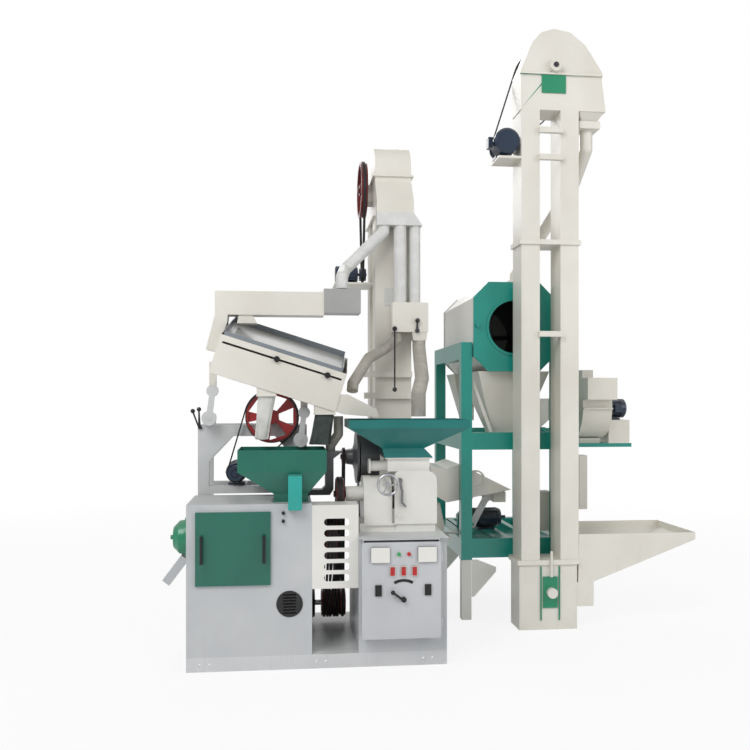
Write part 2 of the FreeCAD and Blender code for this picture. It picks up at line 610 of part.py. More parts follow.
stand_panels = [
    block("stand_left", "sheet_wall", "0", "stand_depth", "base_height", "stand_top - stand_plate - base_height"),
    block("base_length - sheet_wall", "sheet_wall", "0", "stand_depth", "base_height",
          "stand_top - stand_plate - base_height"),
    block("stand_left + sheet_wall", "stand_width - 2 * sheet_wall", "stand_depth - sheet_wall", "sheet_wall",
          "base_height", "stand_top - stand_plate - base_height"),
    block("stand_left + sheet_wall", "stand_width - 2 * sheet_wall", "0", "sheet_wall", "base_height",
          "stand_top - stand_plate - base_height"),
    block("stand_left", "stand_width", "-roof_front", "stand_depth + roof_front", "stand_top - stand_plate",
          "stand_plate")]
subpart("huller_stand", *stand_panels)

base_casting = start_body("base_casting")
pad(base_casting, "XY", "stand_top", "huller_base", rectangle("huller_left", "huller_length", "huller_front", "huller_depth"))
pocket(base_casting, "XZ", "huller_front", "12",
       rectangle("huller_left + 25", "huller_length * 0.42", "stand_top + 12", "huller_base - 24"))
gearbox = start_body("gearbox")
dome = "huller_depth / 2 - 12"
dome_base = f"huller_base_top + gearbox_height - ({dome})"
pad(gearbox, "YZ", "gearbox_left", "gearbox_length", [
    ("huller_front + 12", "huller_base_top"), ("huller_back - 12", "huller_base_top"), ("huller_back - 12", dome_base),
    ("left", dome), ("huller_front + huller_depth / 2", "huller_base_top + gearbox_height"), ("left", dome),
    ("huller_front + 12", dome_base)])
pocket(gearbox, "YZ", "gearbox_left", "60", ("circle", "fast_roll_y", "fast_roll_height", "roll_shaft + 6"))
pocket(gearbox, "YZ", "gearbox_left + 60", "gearbox_length", ("circle", "fast_roll_y", "fast_roll_height", "roll_bore"),
       ("circle", "slow_roll_y", "slow_roll_height", "roll_bore"))
roll_case = start_body("roll_case")


def case_outline(inset):
    """The roll casing seen from the front: square feet, rounded shoulders."""
    left, right = f"roll_case_left + {inset}", f"roll_case_left + roll_case_length - {inset}"
    low, high, bend = f"huller_base_top + {inset}", f"case_top - {inset}", f"roll_case_corner - {inset}"
    return [(left, low), (right, low), (right, f"{high} - ({bend})"), ("left", bend),
            (f"{right} - ({bend})", high), (f"{left} + ({bend}) / 2", high), ("left", f"({bend}) / 2"),
            (left, f"{high} - ({bend}) / 2")]


pad(roll_case, "XZ", "huller_front", "huller_depth", case_outline("0"))
pocket(roll_case, "XZ", "huller_front", "huller_depth - case_wall", case_outline("case_wall"))
pocket(roll_case, "YZ", "roll_case_left", "case_wall",
       ("circle", "fast_roll_y", "fast_roll_height", "roll_shaft + 6"),
       ("circle", "slow_roll_y", "slow_roll_height", "roll_shaft + 6"))
neck_web = block("gearbox_left + gearbox_length", "roll_case_left - gearbox_left - gearbox_length", "huller_front + 30",
                 "50", "huller_base_top", "gearbox_height * 0.3")
cap = start_body("bearing_cap")
pad(cap, "YZ", "bearing_cap_left", "gearbox_left - bearing_cap_left",
    ("circle", "fast_roll_y", "fast_roll_height", "bearing_cap_radius"),
    ("circle", "fast_roll_y", "fast_roll_height", "roll_bore"))
feed_box_sides = ("feed_box_left", "feed_box_left + feed_box_width", "feed_box_front", "feed_box_front + feed_box_depth")
feed_box = walls(feed_box_sides + ("case_top",), feed_box_sides + ("case_top + feed_box_height",), "case_wall")
feed_rim = ("feed_box_left - feed_flange", "feed_box_left + feed_box_width + feed_flange",
            "feed_box_front - feed_flange", "feed_box_front + feed_box_depth + feed_flange")
feed_box += walls(feed_rim + ("case_top + feed_box_height",), feed_rim + ("case_top + feed_box_height + 8",), "feed_flange + case_wall")
feed_bearing = [rod("X", "feed_bearing_left", "huller_front + 110", "case_top + 25", "12", "feed_bearing_radius"),
                rod("X", "feed_bearing_left + 12", "huller_front + 110", "case_top + 25",
                    "feed_box_left - feed_bearing_left - 12", "feed_bearing_radius * 0.7")]
boss = start_body("spindle_boss")
pad(boss, "XZ", "wheel_y + 30", "huller_front + 43 - wheel_y - 30",
    ("circle", "wheel_x", "wheel_height", "spindle_radius + 9"),
    ("circle", "wheel_x", "wheel_height", "spindle_radius + shaft_clearance"))
subpart("huller_housing", base_casting, gearbox, roll_case, neck_web, cap, *feed_box, *feed_bearing, boss)

cover = start_body("cover")
pad(cover, "XZ", "huller_front - cover_thick - fit", "cover_thick", case_outline("-4"))
pocket(cover, "XZ", "huller_front - fit - 4", "4", case_outline("case_wall"))
latch = rod("Y", "roll_case_left + 20", "huller_front - cover_thick - fit - 14", "huller_base_top + 45", "14", "10")
subpart("huller_cover", cover, latch)

hand_wheel = start_body("hand_wheel")
revolve(hand_wheel, ("circle", "wheel_radius - wheel_rim", "0", "wheel_rim"))
pad(hand_wheel, "XY", "-12", "24", ("circle", "0", "0", "14"))
spoke = pad(hand_wheel, "YZ", "10", "wheel_radius - 1.5 * wheel_rim - 10", rectangle("-5", "10", "-3", "6"))
repeat_round(hand_wheel, spoke, 3)
spindle = rod("Z", "0", "0", "12", "huller_front - wheel_y - 12", "spindle_radius")
grip = rod("Z", "0", "wheel_radius - wheel_rim", "-30", "30", "6")
subpart("handwheel", move(aim(group(fuse(hand_wheel, grip), spindle), "Y"), "wheel_x", "wheel_y", "wheel_height"))

lever = start_body("lever")
pad(lever, "XZ", "-5", "10", [("-8", "6"), ("-8", "-20"), ("4", "-60"), ("4", "-lever_reach + 22"), ("28", "-lever_reach"),
                              ("34", "-lever_reach + 8"), ("16", "-lever_reach + 30"), ("16", "-56"), ("8", "-20"), ("8", "6")])
pad(lever, "XZ", "-5", "lever_swing + 5", ("circle", "0", "0", "13"))
move(lever, "lever_x", "huller_front - cover_thick - fit - lever_swing - fit", "lever_height")
subpart("feed_lever", lever)


def roll(label, y, height, start):
    """A rubber-faced husking roll on its shaft."""
    body = start_body(label)
    revolve(body, [("0", start), ("roll_shaft", start), ("roll_shaft", "0"), ("roll_radius * 0.6", "0"),
                   ("roll_radius * 0.6", "14"), ("roll_radius - 8", "14"), ("roll_radius - 8", "0"), ("roll_radius", "0"),
                   ("roll_radius", "roll_length"), ("roll_radius - 8", "roll_length"),
                   ("roll_radius - 8", "roll_length - 14"), ("roll_shaft", "roll_length - 14"),
                   ("roll_shaft", "roll_length + 10"), ("0", "roll_length + 10")])
    return move(aim(body, "X"), "roll_start", y, height)


fast_roll = roll("driven_roll", "fast_roll_y", "fast_roll_height", "huller_pulley_x - roll_start - 12")
huller_pulley = pulley("huller_pulley", "huller_pulley_radius", "huller_pulley_width", "roll_shaft", "32", 2)
move(aim(huller_pulley, "X"), "huller_pulley_x", "fast_roll_y", "fast_roll_height")
subpart("fast_roll", fast_roll, huller_pulley)
subpart("slow_roll", roll("geared_roll", "slow_roll_y", "slow_roll_height", "gearbox_left + 66 - roll_start"))

sizes(feed_hopper_left=860, feed_hopper_right=1523, feed_hopper_front=40, feed_hopper_depth=380,
      feed_hopper_rim_base=1276, feed_hopper_rim=46, feed_hopper_neck=1160, feed_skirt=18)
rim_sides = ("feed_hopper_left", "feed_hopper_right", "feed_hopper_front", "feed_hopper_front + feed_hopper_depth")
throat = ("feed_box_left - 29", "feed_box_left + feed_box_width - 29", "feed_box_front", "feed_box_front + feed_box_depth")
skirt = ("feed_box_left - feed_skirt", "feed_box_left + feed_box_width + feed_skirt",
         "feed_box_front - feed_skirt", "feed_box_front + feed_box_depth + feed_skirt")
skirt_base = "case_top + feed_box_height + 8"
subpart("huller_hopper",
        *walls(rim_sides + ("feed_hopper_rim_base",), rim_sides + ("feed_hopper_rim_base + feed_hopper_rim",), "panel_wall"),
        *walls(throat + ("feed_hopper_neck",), rim_sides + ("feed_hopper_rim_base",), "panel_wall"),
        *walls(skirt + (skirt_base,), throat + ("feed_hopper_neck",), "panel_wall"))

sizes(fan_y=520, fan_height=1092, fan_radius=152, fan_left=955, fan_width=110, fan_wall=3, fan_outlet=190,
      fan_shaft=15, fan_leg=8, fan_pulley_x=852, fan_pulley_radius=46, fan_pulley_width=22, fan_cone_left=878)
scroll = start_body("scroll")


def scroll_outline(inset, far):
    """The husk fan's casing seen from the side: a drum with its outlet running off the top to the back."""
    radius = f"(fan_radius - {inset})"
    return [("fan_y", f"fan_height + {radius}"), (far, f"fan_height + {radius}"), (far, f"fan_height + {inset}"),
            (f"fan_y + {radius}", f"fan_height + {inset}"), (f"fan_y + {radius}", "fan_height"), ("right", radius),
            ("fan_y", f"fan_height - {radius}"), ("right", radius), (f"fan_y - {radius}", "fan_height"),
            ("right", radius)]


pad(scroll, "YZ", "fan_left", "fan_width", scroll_outline("0.01", "fan_y + fan_outlet"))
pocket(scroll, "YZ", "fan_left + fan_wall", "fan_width - 2 * fan_wall",
       scroll_outline("fan_wall", "fan_y + fan_outlet + 1"))
pocket(scroll, "YZ", "fan_left", "fan_wall", ("circle", "fan_y", "fan_height", "fan_shaft + 4"))
cone = start_body("cone")
cone_length = "fan_left - fan_leg - fan_cone_left"
revolve(cone, [("fan_shaft + shaft_clearance", "0"), ("44", "0"), ("50", "38"), ("96", "52"),
               ("fan_radius + 5", f"{cone_length} - 12"), ("fan_radius + 5", cone_length),
               ("fan_shaft + shaft_clearance", cone_length)])
move(aim(cone, "X"), "fan_cone_left", "fan_y", "fan_height")
legs = start_body("fan_legs")
leg_outline = [("fan_y - 76", "stand_top"), ("fan_y + 90", "stand_top"), ("fan_y + 40", "fan_height - 25"),
               ("fan_y - 40", "fan_height - 25")]
pad(legs, "YZ", "fan_left - fan_leg", "fan_leg", leg_outline)
pad(legs, "YZ", "fan_left + fan_width", "fan_leg", leg_outline)
subpart("husk_fan_housing", scroll, cone, legs)

impeller = start_body("impeller")
revolve(impeller, [("0", "fan_pulley_x - fan_left - 8"), ("fan_shaft", "fan_pulley_x - fan_left - 8"),
                   ("fan_shaft", "12"), ("40", "12"), ("40", "fan_width - 14"), ("0", "fan_width - 14")])
blade = pad(impeller, "XY", "14", "fan_width - 30", rectangle("38", "fan_radius - 60", "-3", "6"))
repeat_round(impeller, blade, 6)
fan_pulley = pulley("fan_pulley", "fan_pulley_radius", "fan_pulley_width", "fan_shaft", "22", 1)
move(aim(impeller, "X"), "fan_left", "fan_y", "fan_height")
move(aim(fan_pulley, "X"), "fan_pulley_x", "fan_y", "fan_height")
subpart("husk_fan_rotor", impeller, fan_pulley)

# ---- control cabinet ----

sizes(box_left=925, box_width=413, box_depth=60, box_base=168, box_top=690, front_left=919, front_width=424,
      front_base=165, front_height=511, front_thick=12, meter_width=99, meter_height=80, meter_thick=14,
      meter_base=572, meter_left=966, meter_right=1217, lamp_height=614, lamp_radius=10, breaker_width=34,
      breaker_height=58, breaker_base=394, switch_first=1081, switch_pitch=59, switch_base=497, switch_width=32,
      switch_height=54, switch_frame=5, switch_play=1, selector_x=1140, selector_height=375, selector_hub=14,
      selector_reach=71, selector_angle=34, scale_radius=92)
derive(box_front="-box_depth", front_face="-box_depth - fit - front_thick")
subpart("control_cabinet",
        block("box_left", "sheet_wall", "box_front", "box_depth", "box_base", "box_top - box_base"),
        block("box_left + box_width - sheet_wall", "sheet_wall", "box_front", "box_depth", "box_base", "box_top - box_base"),
        block("box_left + sheet_wall", "box_width - 2 * sheet_wall", "box_front", "box_depth", "box_base", "sheet_wall"),
        block("box_left + sheet_wall", "box_width - 2 * sheet_wall", "box_front", "box_depth", "box_top - sheet_wall", "sheet_wall"),
        block("box_left + sheet_wall", "box_width - 2 * sheet_wall", "-sheet_wall", "sheet_wall",
              "box_base + sheet_wall", "box_top - box_base - 2 * sheet_wall"))
panel = start_body("panel")
bend = "14"
left, right, low, high = "front_left", "front_left + front_width", "front_base", "front_base + front_height"
pad(panel, "XZ", "front_face", "front_thick", [
    (f"{left} + {bend}", low), (f"{right} - {bend}", low), ("left", bend), (right, f"{low} + {bend}"),
    (right, f"{high} - {bend}"), ("left", bend), (f"{right} - {bend}", high), (f"{left} + {bend}", high),
    ("left", bend), (left, f"{high} - {bend}"), (left, f"{low} + {bend}"), ("left", bend)])
pocket(panel, "XZ", "front_face + panel_wall", "front_thick - panel_wall",
       rectangle(f"{left} + 8", "front_width - 16", f"{low} + 8", "front_height - 16"))
hinges = [rod("Z", "front_left + front_width + 4", "front_face + 6", height, "40", "4")
          for height in ("front_base + 60", "front_base + front_height - 100")]
subpart("control_door", panel, *hinges)
instruments = []
for across in ("meter_left", "meter_right"):
    instruments.append(block(across, "meter_width", "front_face - meter_thick", "meter_thick", "meter_base", "meter_height"))
for across in ("1115", "1169"):
    instruments.append(rod("Y", across, "front_face - 12", "lamp_height", "12", "lamp_radius"))
for across in ("989", "1254"):
    instruments.append(block(across, "breaker_width", "front_face - 9", "9", "breaker_base", "breaker_height"))
for row in range(3):
    across = f"switch_first + {row} * switch_pitch - switch_width / 2"
    bezel = start_body("bezel")
    pad(bezel, "XZ", "front_face - switch_frame", "switch_frame",
        rectangle(across, "switch_width", "switch_base", "switch_height"),
        rectangle(f"{across} + 4", "switch_width - 8", "switch_base + 4", "switch_height - 8"))
    instruments.append(bezel)
    rocker = start_body(f"rocker_{row}")
    middle = "switch_base + switch_height / 2"
    pad(rocker, "YZ", f"{across} + 4 + fit", "switch_width - 8 - 2 * fit", [
        ("front_face - 4", f"{middle} - switch_height / 2 + 4 + switch_play"), ("front_face - 1", middle),
        ("front_face - 4", f"{middle} + switch_height / 2 - 4 - switch_play"),
        ("front_face - 11", f"{middle} + switch_height / 2 - 4 - switch_play"), ("front_face - 8", middle),
        ("front_face - 11", f"{middle} - switch_height / 2 + 4 + switch_play")])
    subpart(("switch_left", "switch_middle", "switch_right")[row], rocker)
arc = start_body("arc_scale")
pad(arc, "XZ", "front_face - 2", "2", [
    ("selector_x - scale_radius * 0.5", "selector_height + scale_radius * 0.866"), ("right", "scale_radius"),
    ("selector_x + scale_radius * 0.5", "selector_height + scale_radius * 0.866"),
    ("selector_x + scale_radius * 0.58", "selector_height + scale_radius * 1.005"), ("left", "scale_radius * 1.16"),
    ("selector_x - scale_radius * 0.58", "selector_height + scale_radius * 1.005")])
instruments.append(arc)
subpart("panel_instruments", *instruments)
selector = start_body("selector")
pad(selector, "XZ", "-20", "20 - fit", ("circle", "0", "0", "selector_hub"))
pad(selector, "XZ", "-20", "8", [("-9", "9"), ("-selector_reach * 0.8", "selector_reach * 0.55 + 5"),
                                 ("-selector_reach * 0.85", "selector_reach * 0.55 - 5"), ("0", "-11")])
selector_knob = ball("-selector_reach * 0.83", "-22", "selector_reach * 0.56", "12")
subpart("changeover_lever", fuse(selector, selector_knob), x="selector_x", y="front_face", z="selector_height")
# ---- paddy separator and its stand ----

sizes(portal_width=630, portal_left=13, portal_top=1285, portal_leg=63, portal_front=470, portal_back=760,
      portal_thick=50, rail_base=886, rail_height=43, rocker_pin=12, rocker_thick=24, rocker_y=388,
      rocker_lean=20, rocker_rise=157, left_pivot_x=83, left_pivot_height=1325, right_pivot_x=606,
      right_pivot_height=1200, lower_boss=42, upper_boss=34, wheel_shaft=14, eccentric_x=438,
      eccentric_height=1332, eccentric_radius=151, eccentric_y=418, eccentric_width=40, casing_x=90, casing_y=300,
      casing_height_at=1587, casing_length=745, casing_depth=385, casing_front=225, casing_rise=112,
      casing_tilt=17.5, tray_tilt=16.2, tray_left=17, tray_length=699, tray_floor=6, tray_rim=34,
      divider_slot=184, casing_floor=60, slot_half=6, divider_upper=340, divider_lower=640, divider_stem=5, divider_knob=17)
derive(pin_front="rocker_y - 3", eccentric_shaft_bore="wheel_shaft + shaft_clearance",
       portal_right="portal_left + portal_width")


def portal(front):
    """One end frame of folded plate with its braced corners."""
    return sheet_of("XZ", front, "portal_thick", [
        ("portal_left", "base_height"), ("portal_left + portal_leg", "base_height"),
        ("portal_left + portal_leg", "portal_top - 209"), ("portal_left + 199", "portal_top - 66"),
        ("portal_right - 187", "portal_top - 66"), ("portal_right - portal_leg", "portal_top - 209"),
        ("portal_right - portal_leg", "base_height"), ("portal_right", "base_height"),
        ("portal_right", "portal_top"), ("portal_left", "portal_top")])


between = "portal_back - portal_front - portal_thick"
inner_width = "portal_width - 2 * portal_leg"
stand = [portal("portal_front"), portal("portal_back")]
stand += [block("portal_left + portal_leg", inner_width, front, "portal_thick", "rail_base", "rail_height")
          for front in ("portal_front", "portal_back")]
stand += [block(across, "40", "portal_front + portal_thick", between, "rail_base", "rail_height")
          for across in ("176", "246")]
stand += [block(across, "portal_leg", "portal_front + portal_thick", between, "portal_top - 66", "66")
          for across in ("portal_left", "portal_right - portal_leg")]
stand += [block("left_pivot_x - 30", "60", "portal_front - 30", "90", "portal_top", "left_pivot_height + 22 - portal_top"),
          rod("Y", "left_pivot_x", "pin_front", "left_pivot_height", "portal_front - 30 - pin_front", "rocker_pin"),
          rod("Y", "right_pivot_x", "pin_front", "right_pivot_height", "portal_front - pin_front", "rocker_pin")]
for front in ("portal_front", "portal_front + 60"):
    stand.append(sheet_of("XZ", front, "30", [
        ("eccentric_x - 50", "portal_top"), ("eccentric_x + 50", "portal_top"), ("eccentric_x + 34", "eccentric_height + 30"),
        ("eccentric_x - 34", "eccentric_height + 30")], ("circle", "eccentric_x", "eccentric_height", "eccentric_shaft_bore")))
subpart("separator_stand", *stand, block("eccentric_x - 60", "120", "portal_front + portal_thick", "50",
                                         "portal_top - 20", "20"))


def rocker(x, z):
    """A swinging link from a lower pivot pin to an upper boss."""
    link = start_body("link")
    pad(link, "XZ", "0", "rocker_thick", [("-18", "0"), ("18", "0"), ("rocker_lean + 15", "rocker_rise"),
                                         ("rocker_lean - 15", "rocker_rise")])
    pad(link, "XZ", "0", "rocker_thick", ("circle", "0", "0", "lower_boss"))
    pad(link, "XZ", "0", "rocker_thick", ("circle", "rocker_lean", "rocker_rise", "upper_boss"))
    pocket(link, "XZ", "0", "rocker_thick", ("circle", "0", "0", "rocker_pin + shaft_clearance"))
    return move(link, x, "rocker_y", z)


subpart("separator_rocker_left", rocker("left_pivot_x", "left_pivot_height"))
subpart("separator_rocker_right", rocker("right_pivot_x", "right_pivot_height"))

eccentric = pulley("eccentric_wheel", "eccentric_radius", "eccentric_width", "wheel_shaft", "34", 1, 5)
move(aim(eccentric, "Y"), "eccentric_x", "eccentric_y", "eccentric_height")
subpart("separator_pulley", eccentric,
        rod("Y", "eccentric_x", "eccentric_y - 10", "eccentric_height", "portal_front + 110 - eccentric_y", "wheel_shaft"))


def on_separator(*things):
    """Set things made along the casing's own edges down at its tilt."""
    return tilt(move(group(*things), "casing_x", "casing_y", "casing_height_at"), "Y", "casing_tilt")


def under_floor(x):
    """How high the casing's tilted floor is at x, seen from the front."""
    return (f"casing_height_at + casing_floor / cos(casing_tilt) - ({x} - casing_x) * tan(casing_tilt) - fit")


def hanger(pivot, height):
    """The bracket under the casing that a rocker's upper boss swings."""
    left, right, low = f"{pivot} + rocker_lean - 20", f"{pivot} + rocker_lean + 20", f"{height} + rocker_rise - 20"
    return sheet_of("XZ", "rocker_y + rocker_thick + fit", "30",
                    [(left, low), (right, low), (right, under_floor(right)), (left, under_floor(left))])


end_outline = [("panel_wall", "casing_floor"), ("casing_depth - panel_wall", "casing_floor"),
               ("casing_depth - panel_wall", "casing_front + casing_rise - panel_wall"), ("panel_wall", "casing_front")]
front_panel = sheet_of("XZ", "0", "panel_wall", rectangle("0", "casing_length", "0", "casing_front"),
                       slot("casing_length / 2", "divider_slot", "casing_length - 40", "2 * slot_half"))
subpart("separator_body", on_separator(
    front_panel,
    block("0", "casing_length", "casing_depth - panel_wall", "panel_wall", "0", "casing_front + casing_rise"),
    block("panel_wall", "casing_length - 2 * panel_wall", "panel_wall", "casing_depth - 2 * panel_wall", "casing_floor", "panel_wall"),
    sheet_of("YZ", "0", "panel_wall", end_outline), sheet_of("YZ", "casing_length - panel_wall", "panel_wall", end_outline)),
    hanger("left_pivot_x", "left_pivot_height"), hanger("right_pivot_x", "right_pivot_height"),
    sheet_of("XZ", "casing_y + 5", "230", [("802.5", "1368"), ("857", "1347"), ("1055", "1330"), ("1038", "1377"),
                                          ("874", "1462"), ("832.2", "1462")]))

tray_plates = [block("tray_left", "tray_length", "0", "casing_depth", "casing_front * 0", "tray_floor"),
               block("tray_left", "tray_length", "0", "panel_wall", "tray_floor", "tray_rim * 0.5"),
               block("tray_left", "tray_length", "casing_depth - panel_wall", "panel_wall", "tray_floor", "tray_rim"),
               block("tray_left", "panel_wall", "panel_wall", "casing_depth - 2 * panel_wall", "tray_floor", "tray_rim"),
               block("tray_left + tray_length - panel_wall", "panel_wall", "panel_wall",
                     "casing_depth - 2 * panel_wall", "tray_floor", "tray_rim * 0.7")]
tray = tilt(move(group(*tray_plates), "0", "0", "casing_front + fit"), "X", "tray_tilt")
subpart("separator_tray", on_separator(tray))

sizes(duct_y=440, duct_depth=140, duct_left=112, duct_length=631, duct_base=1925, duct_height=137,
      end_box_length=216, end_box_base=1941, end_box_height=141)
down_leg = sheet_of("XZ", "duct_y", "duct_depth", [("duct_left", "duct_base"), ("61", "1725"), ("128", "1708"),
                                                  ("181", "1877"), ("186", "duct_base")])
feed_chute = walls(("239", "354", "duct_y + 10", "duct_y + 130", "1876"), ("249", "330", "duct_y + 10", "duct_y + 130", "duct_base"),
                   "panel_wall")
subpart("separator_duct", block("duct_left", "duct_length", "duct_y", "duct_depth", "duct_base", "duct_height"),
        block("duct_left + duct_length", "end_box_length", "duct_y - 8", "duct_depth + 16", "end_box_base", "end_box_height"),
        down_leg, *feed_chute)

socks = []
for left, right, low, sock_left, sock_width, sock_end in (("356", "467", "1449", "345", "72", "1204"),
                                                          ("682", "802", "1345", "650", "126", "1172")):
    socks.append(sheet_of("XZ", "casing_y + 6", "84", [
        (left, low), (right, low), (right, under_floor(right)), (left, under_floor(left))]))
    socks.append(taper((sock_left, f"{sock_left} + {sock_width}", "casing_y + 16", "casing_y + 80", sock_end),
                       (left, right, "casing_y + 10", "casing_y + 86", low)))
subpart("grain_socks", *socks)

for label, along in (("divider_knob_upper", "divider_upper"), ("divider_knob_lower", "divider_lower")):
    subpart(label, on_separator(rod("Y", along, "-18 - fit", "divider_slot", "18", "divider_knob"),
                                rod("Y", along, "-fit", "divider_slot", "24 + fit", "divider_stem"),
                                block(f"{along} - 2", "4", "24", "casing_depth * 0.7", "divider_slot - 60", "90")))

tilt_arms = sheet_of("XZ", "portal_front - 12 - fit", "12", [("18", "1262"), ("42", "1262"), ("30", "1280"),
                                                          ("24", "1372"), ("16", "1372"), ("16", "1292"), ("-11", "1365"), ("-19", "1361")])
subpart("tilt_lever", fuse(tilt_arms, ball("-15", "portal_front - 6 - fit", "1366", "13"), ball("20", "portal_front - 6 - fit", "1376", "13")))

sizes(separator_motor_x=231, separator_motor_radius=65, belt_width=18)
derive(separator_motor_height="rail_base + rail_height + separator_motor_radius * 1.18")
# ---- middle bucket elevator, its pipes and hoses ----

sizes(middle_left=1094, middle_width=236, middle_front=900, middle_leg=160, middle_back=1388, middle_boot_top=420,
      head_base=2620, head_joint=2878, head_lip=14, lip_thick=10, middle_axis_y=1144, middle_shaft=18,
      middle_wheel_radius=182, middle_wheel_x=1012, middle_wheel_width=44, clamp_left=1021, clamp_length=309,
      pipe_radius=41, pipe_y=838, divert_left=1191, divert_length=229, divert_base=1861, divert_top=2048,
      divert_front=775, divert_depth=110, hose_radius=42, lever_ball=15)
derive(middle_right="middle_left + middle_width", middle_depth="middle_back - middle_front",
       dome_radius="middle_depth / 2", middle_axis_height="head_joint - 40", back_leg="middle_back - middle_leg")
elevator = [block("middle_left", "middle_width", front, "middle_leg", "middle_boot_top", "head_base - middle_boot_top")
            for front in ("middle_front", "back_leg")]
elevator.append(block("middle_left - 14", "middle_width + 28", "middle_front - 14", "middle_depth + 28", "0", "middle_boot_top"))
dome = start_body("dome")
pad(dome, "YZ", "middle_left", "middle_width", [
    ("middle_front", "head_base"), ("middle_back", "head_base"), ("middle_back", "head_joint"), ("left", "dome_radius"),
    ("middle_front + dome_radius", "head_joint + dome_radius"), ("left", "dome_radius"), ("middle_front", "head_joint")])
pocket(dome, "YZ", "middle_left", "middle_width", ("circle", "middle_axis_y", "middle_axis_height", "middle_shaft + shaft_clearance"))
shell = [dome]
for level in ("head_base", "head_joint"):
    outer = rectangle("middle_left - head_lip", "middle_width + 2 * head_lip", "middle_front - head_lip", "middle_depth + 2 * head_lip")
    inner = rectangle("middle_left", "middle_width", "middle_front", "middle_depth")
    shell.append(sheet_of("XY", f"{level} - lip_thick / 2", "lip_thick", outer, inner))
shell.append(sheet_of("YZ", "middle_left", "middle_width", [
    ("middle_front", "head_joint - 40"), ("pipe_y - 45", "head_base + 80"), ("pipe_y - 45", "head_base"), ("middle_front", "head_base")]))
elevator.append(fuse(*shell))
for bracket in ("middle_left - 34", "middle_right"):
    elevator.append(block(bracket, "34", "middle_axis_y - 80", "160", "head_joint - 130", "50"))
    elevator.append(sheet_of("YZ", bracket, "34", [
        ("middle_axis_y - 70", "head_joint - 80"), ("middle_axis_y + 70", "head_joint - 80"),
        ("middle_axis_y + 38", "head_joint - 8"), ("middle_axis_y - 38", "head_joint - 8")],
        ("circle", "middle_axis_y", "middle_axis_height", "middle_shaft + shaft_clearance")))
elevator += [block("clamp_left", "clamp_length", "middle_front - 40", "40", level, "40") for level in ("1438", "1576")]
elevator.append(block("840", "middle_left - 840", "1000", "290", "2190", "12"))
elevator += walls(("middle_right + 14", "1450", "1000", "1200", "300"), ("middle_right + 14", "1600", "950", "1250", "528"), "panel_wall")
elevator.append(block("1572", "108", "1080", "40", "528", "8"))
elevator.append(sheet_of("XZ", "996", "208", [("middle_right + 14", "120"), ("1450", "300"), ("middle_right + 14", "300")]))
subpart("middle_elevator", *elevator)

middle_wheel = pulley("middle_wheel", "middle_wheel_radius", "middle_wheel_width", "middle_shaft", "36", 1, 5)
move(aim(middle_wheel, "X"), "middle_wheel_x", "middle_axis_y", "middle_axis_height")
subpart("middle_head_pulley", middle_wheel,
        rod("X", "middle_wheel_x - 10", "middle_axis_y", "middle_axis_height", "middle_right + 44 - middle_wheel_x", "middle_shaft"))

manifold = taper(("1096", "1385", "pipe_y - 45", "pipe_y + 45", "2540"),
                 ("middle_left", "middle_right", "pipe_y - 45", "pipe_y + 45", "head_base"))
pipes = [manifold,
         pipe("37", ("1141", "pipe_y", "2540"), ("1141", "pipe_y", "2503"), ("884", "pipe_y - 120", "2238"),
              ("852", "duct_y + 70", "2160"), ("852", "duct_y + 70", "2092")),
         pipe("pipe_radius", ("1247", "pipe_y", "2540"), ("1247", "pipe_y", "divert_top")),
         pipe("35", ("1343", "pipe_y", "2540"), ("1343", "pipe_y", "divert_top")),
         block("divert_left", "divert_length", "divert_front", "divert_depth", "divert_base", "divert_top - divert_base"),
         block("divert_left + 60", "100", "divert_front + divert_depth", "middle_front - divert_front - divert_depth",
               "divert_base + 60", "80"),
         taper(("1326", "1409", "divert_front + 12", "divert_front + 98", "1808"),
               ("1316", "1415", "divert_front + 4", "divert_front + 106", "divert_base")),
         block("1154", "60", "middle_front - 4", "4", "2040", "113")]
subpart("delivery_pipes", *pipes)

funnel = walls(("748", "796", "385", "465", "1090"), ("742", "848", "377", "473", "1130"), "panel_wall")
subpart("grain_hoses",
        pipe("hose_radius", ("1368", "divert_front + 55", "1808"), ("1368", "divert_front + 55", "1764"),
             ("1330", "480", "1560"), ("1285", "330", "1469"), ("1285", "330", "1335")),
        pipe("34", ("1225", "divert_front + 55", "divert_base"), ("1225", "divert_front + 55", "1815"),
             ("1140", "815", "1750"), ("1032", "700", "1690"), ("920", "525", "1530"), ("914", "505", "1484")),
        pipe("28", ("826", "425", "1335"), ("826", "425", "1230"), ("780", "425", "1165"), ("780", "425", "1133")),
        sheet_of("XZ", "385", "80", [("748", "1090"), ("748", "930"), ("730", "912"), ("600", "912"), ("600", "cabinet_top + sheet_wall"),
                                    ("775", "cabinet_top + sheet_wall"), ("796", "912"), ("796", "1090")]),
        block("742", "106", "377", "96", "1130", "3"), *funnel)

lever_a = start_body("gate_lever")
pad(lever_a, "XZ", "-10", "10 - fit", [("-8", "-8"), ("8", "-8"), ("5", "54"), ("-5", "54")])
pad(lever_a, "XZ", "-10", "10 - fit", ("circle", "0", "0", "14"))
subpart("valve_lever_a", fuse(lever_a, ball("0", "-18", "64", "lever_ball")), x="1348", y="divert_front", z="1868")
lever_b = start_body("hanging_lever")
pad(lever_b, "XZ", "-10", "10 - fit", ("circle", "0", "0", "15"))
subpart("valve_lever_b", fuse(lever_b, bar(("0", "-6", "0"), ("0", "-6", "-370"), "5"), ball("0", "-6", "-384", "lever_ball")),
        x="1204", y="divert_front", z="1880")

# ---- the smaller motors and the belts ----

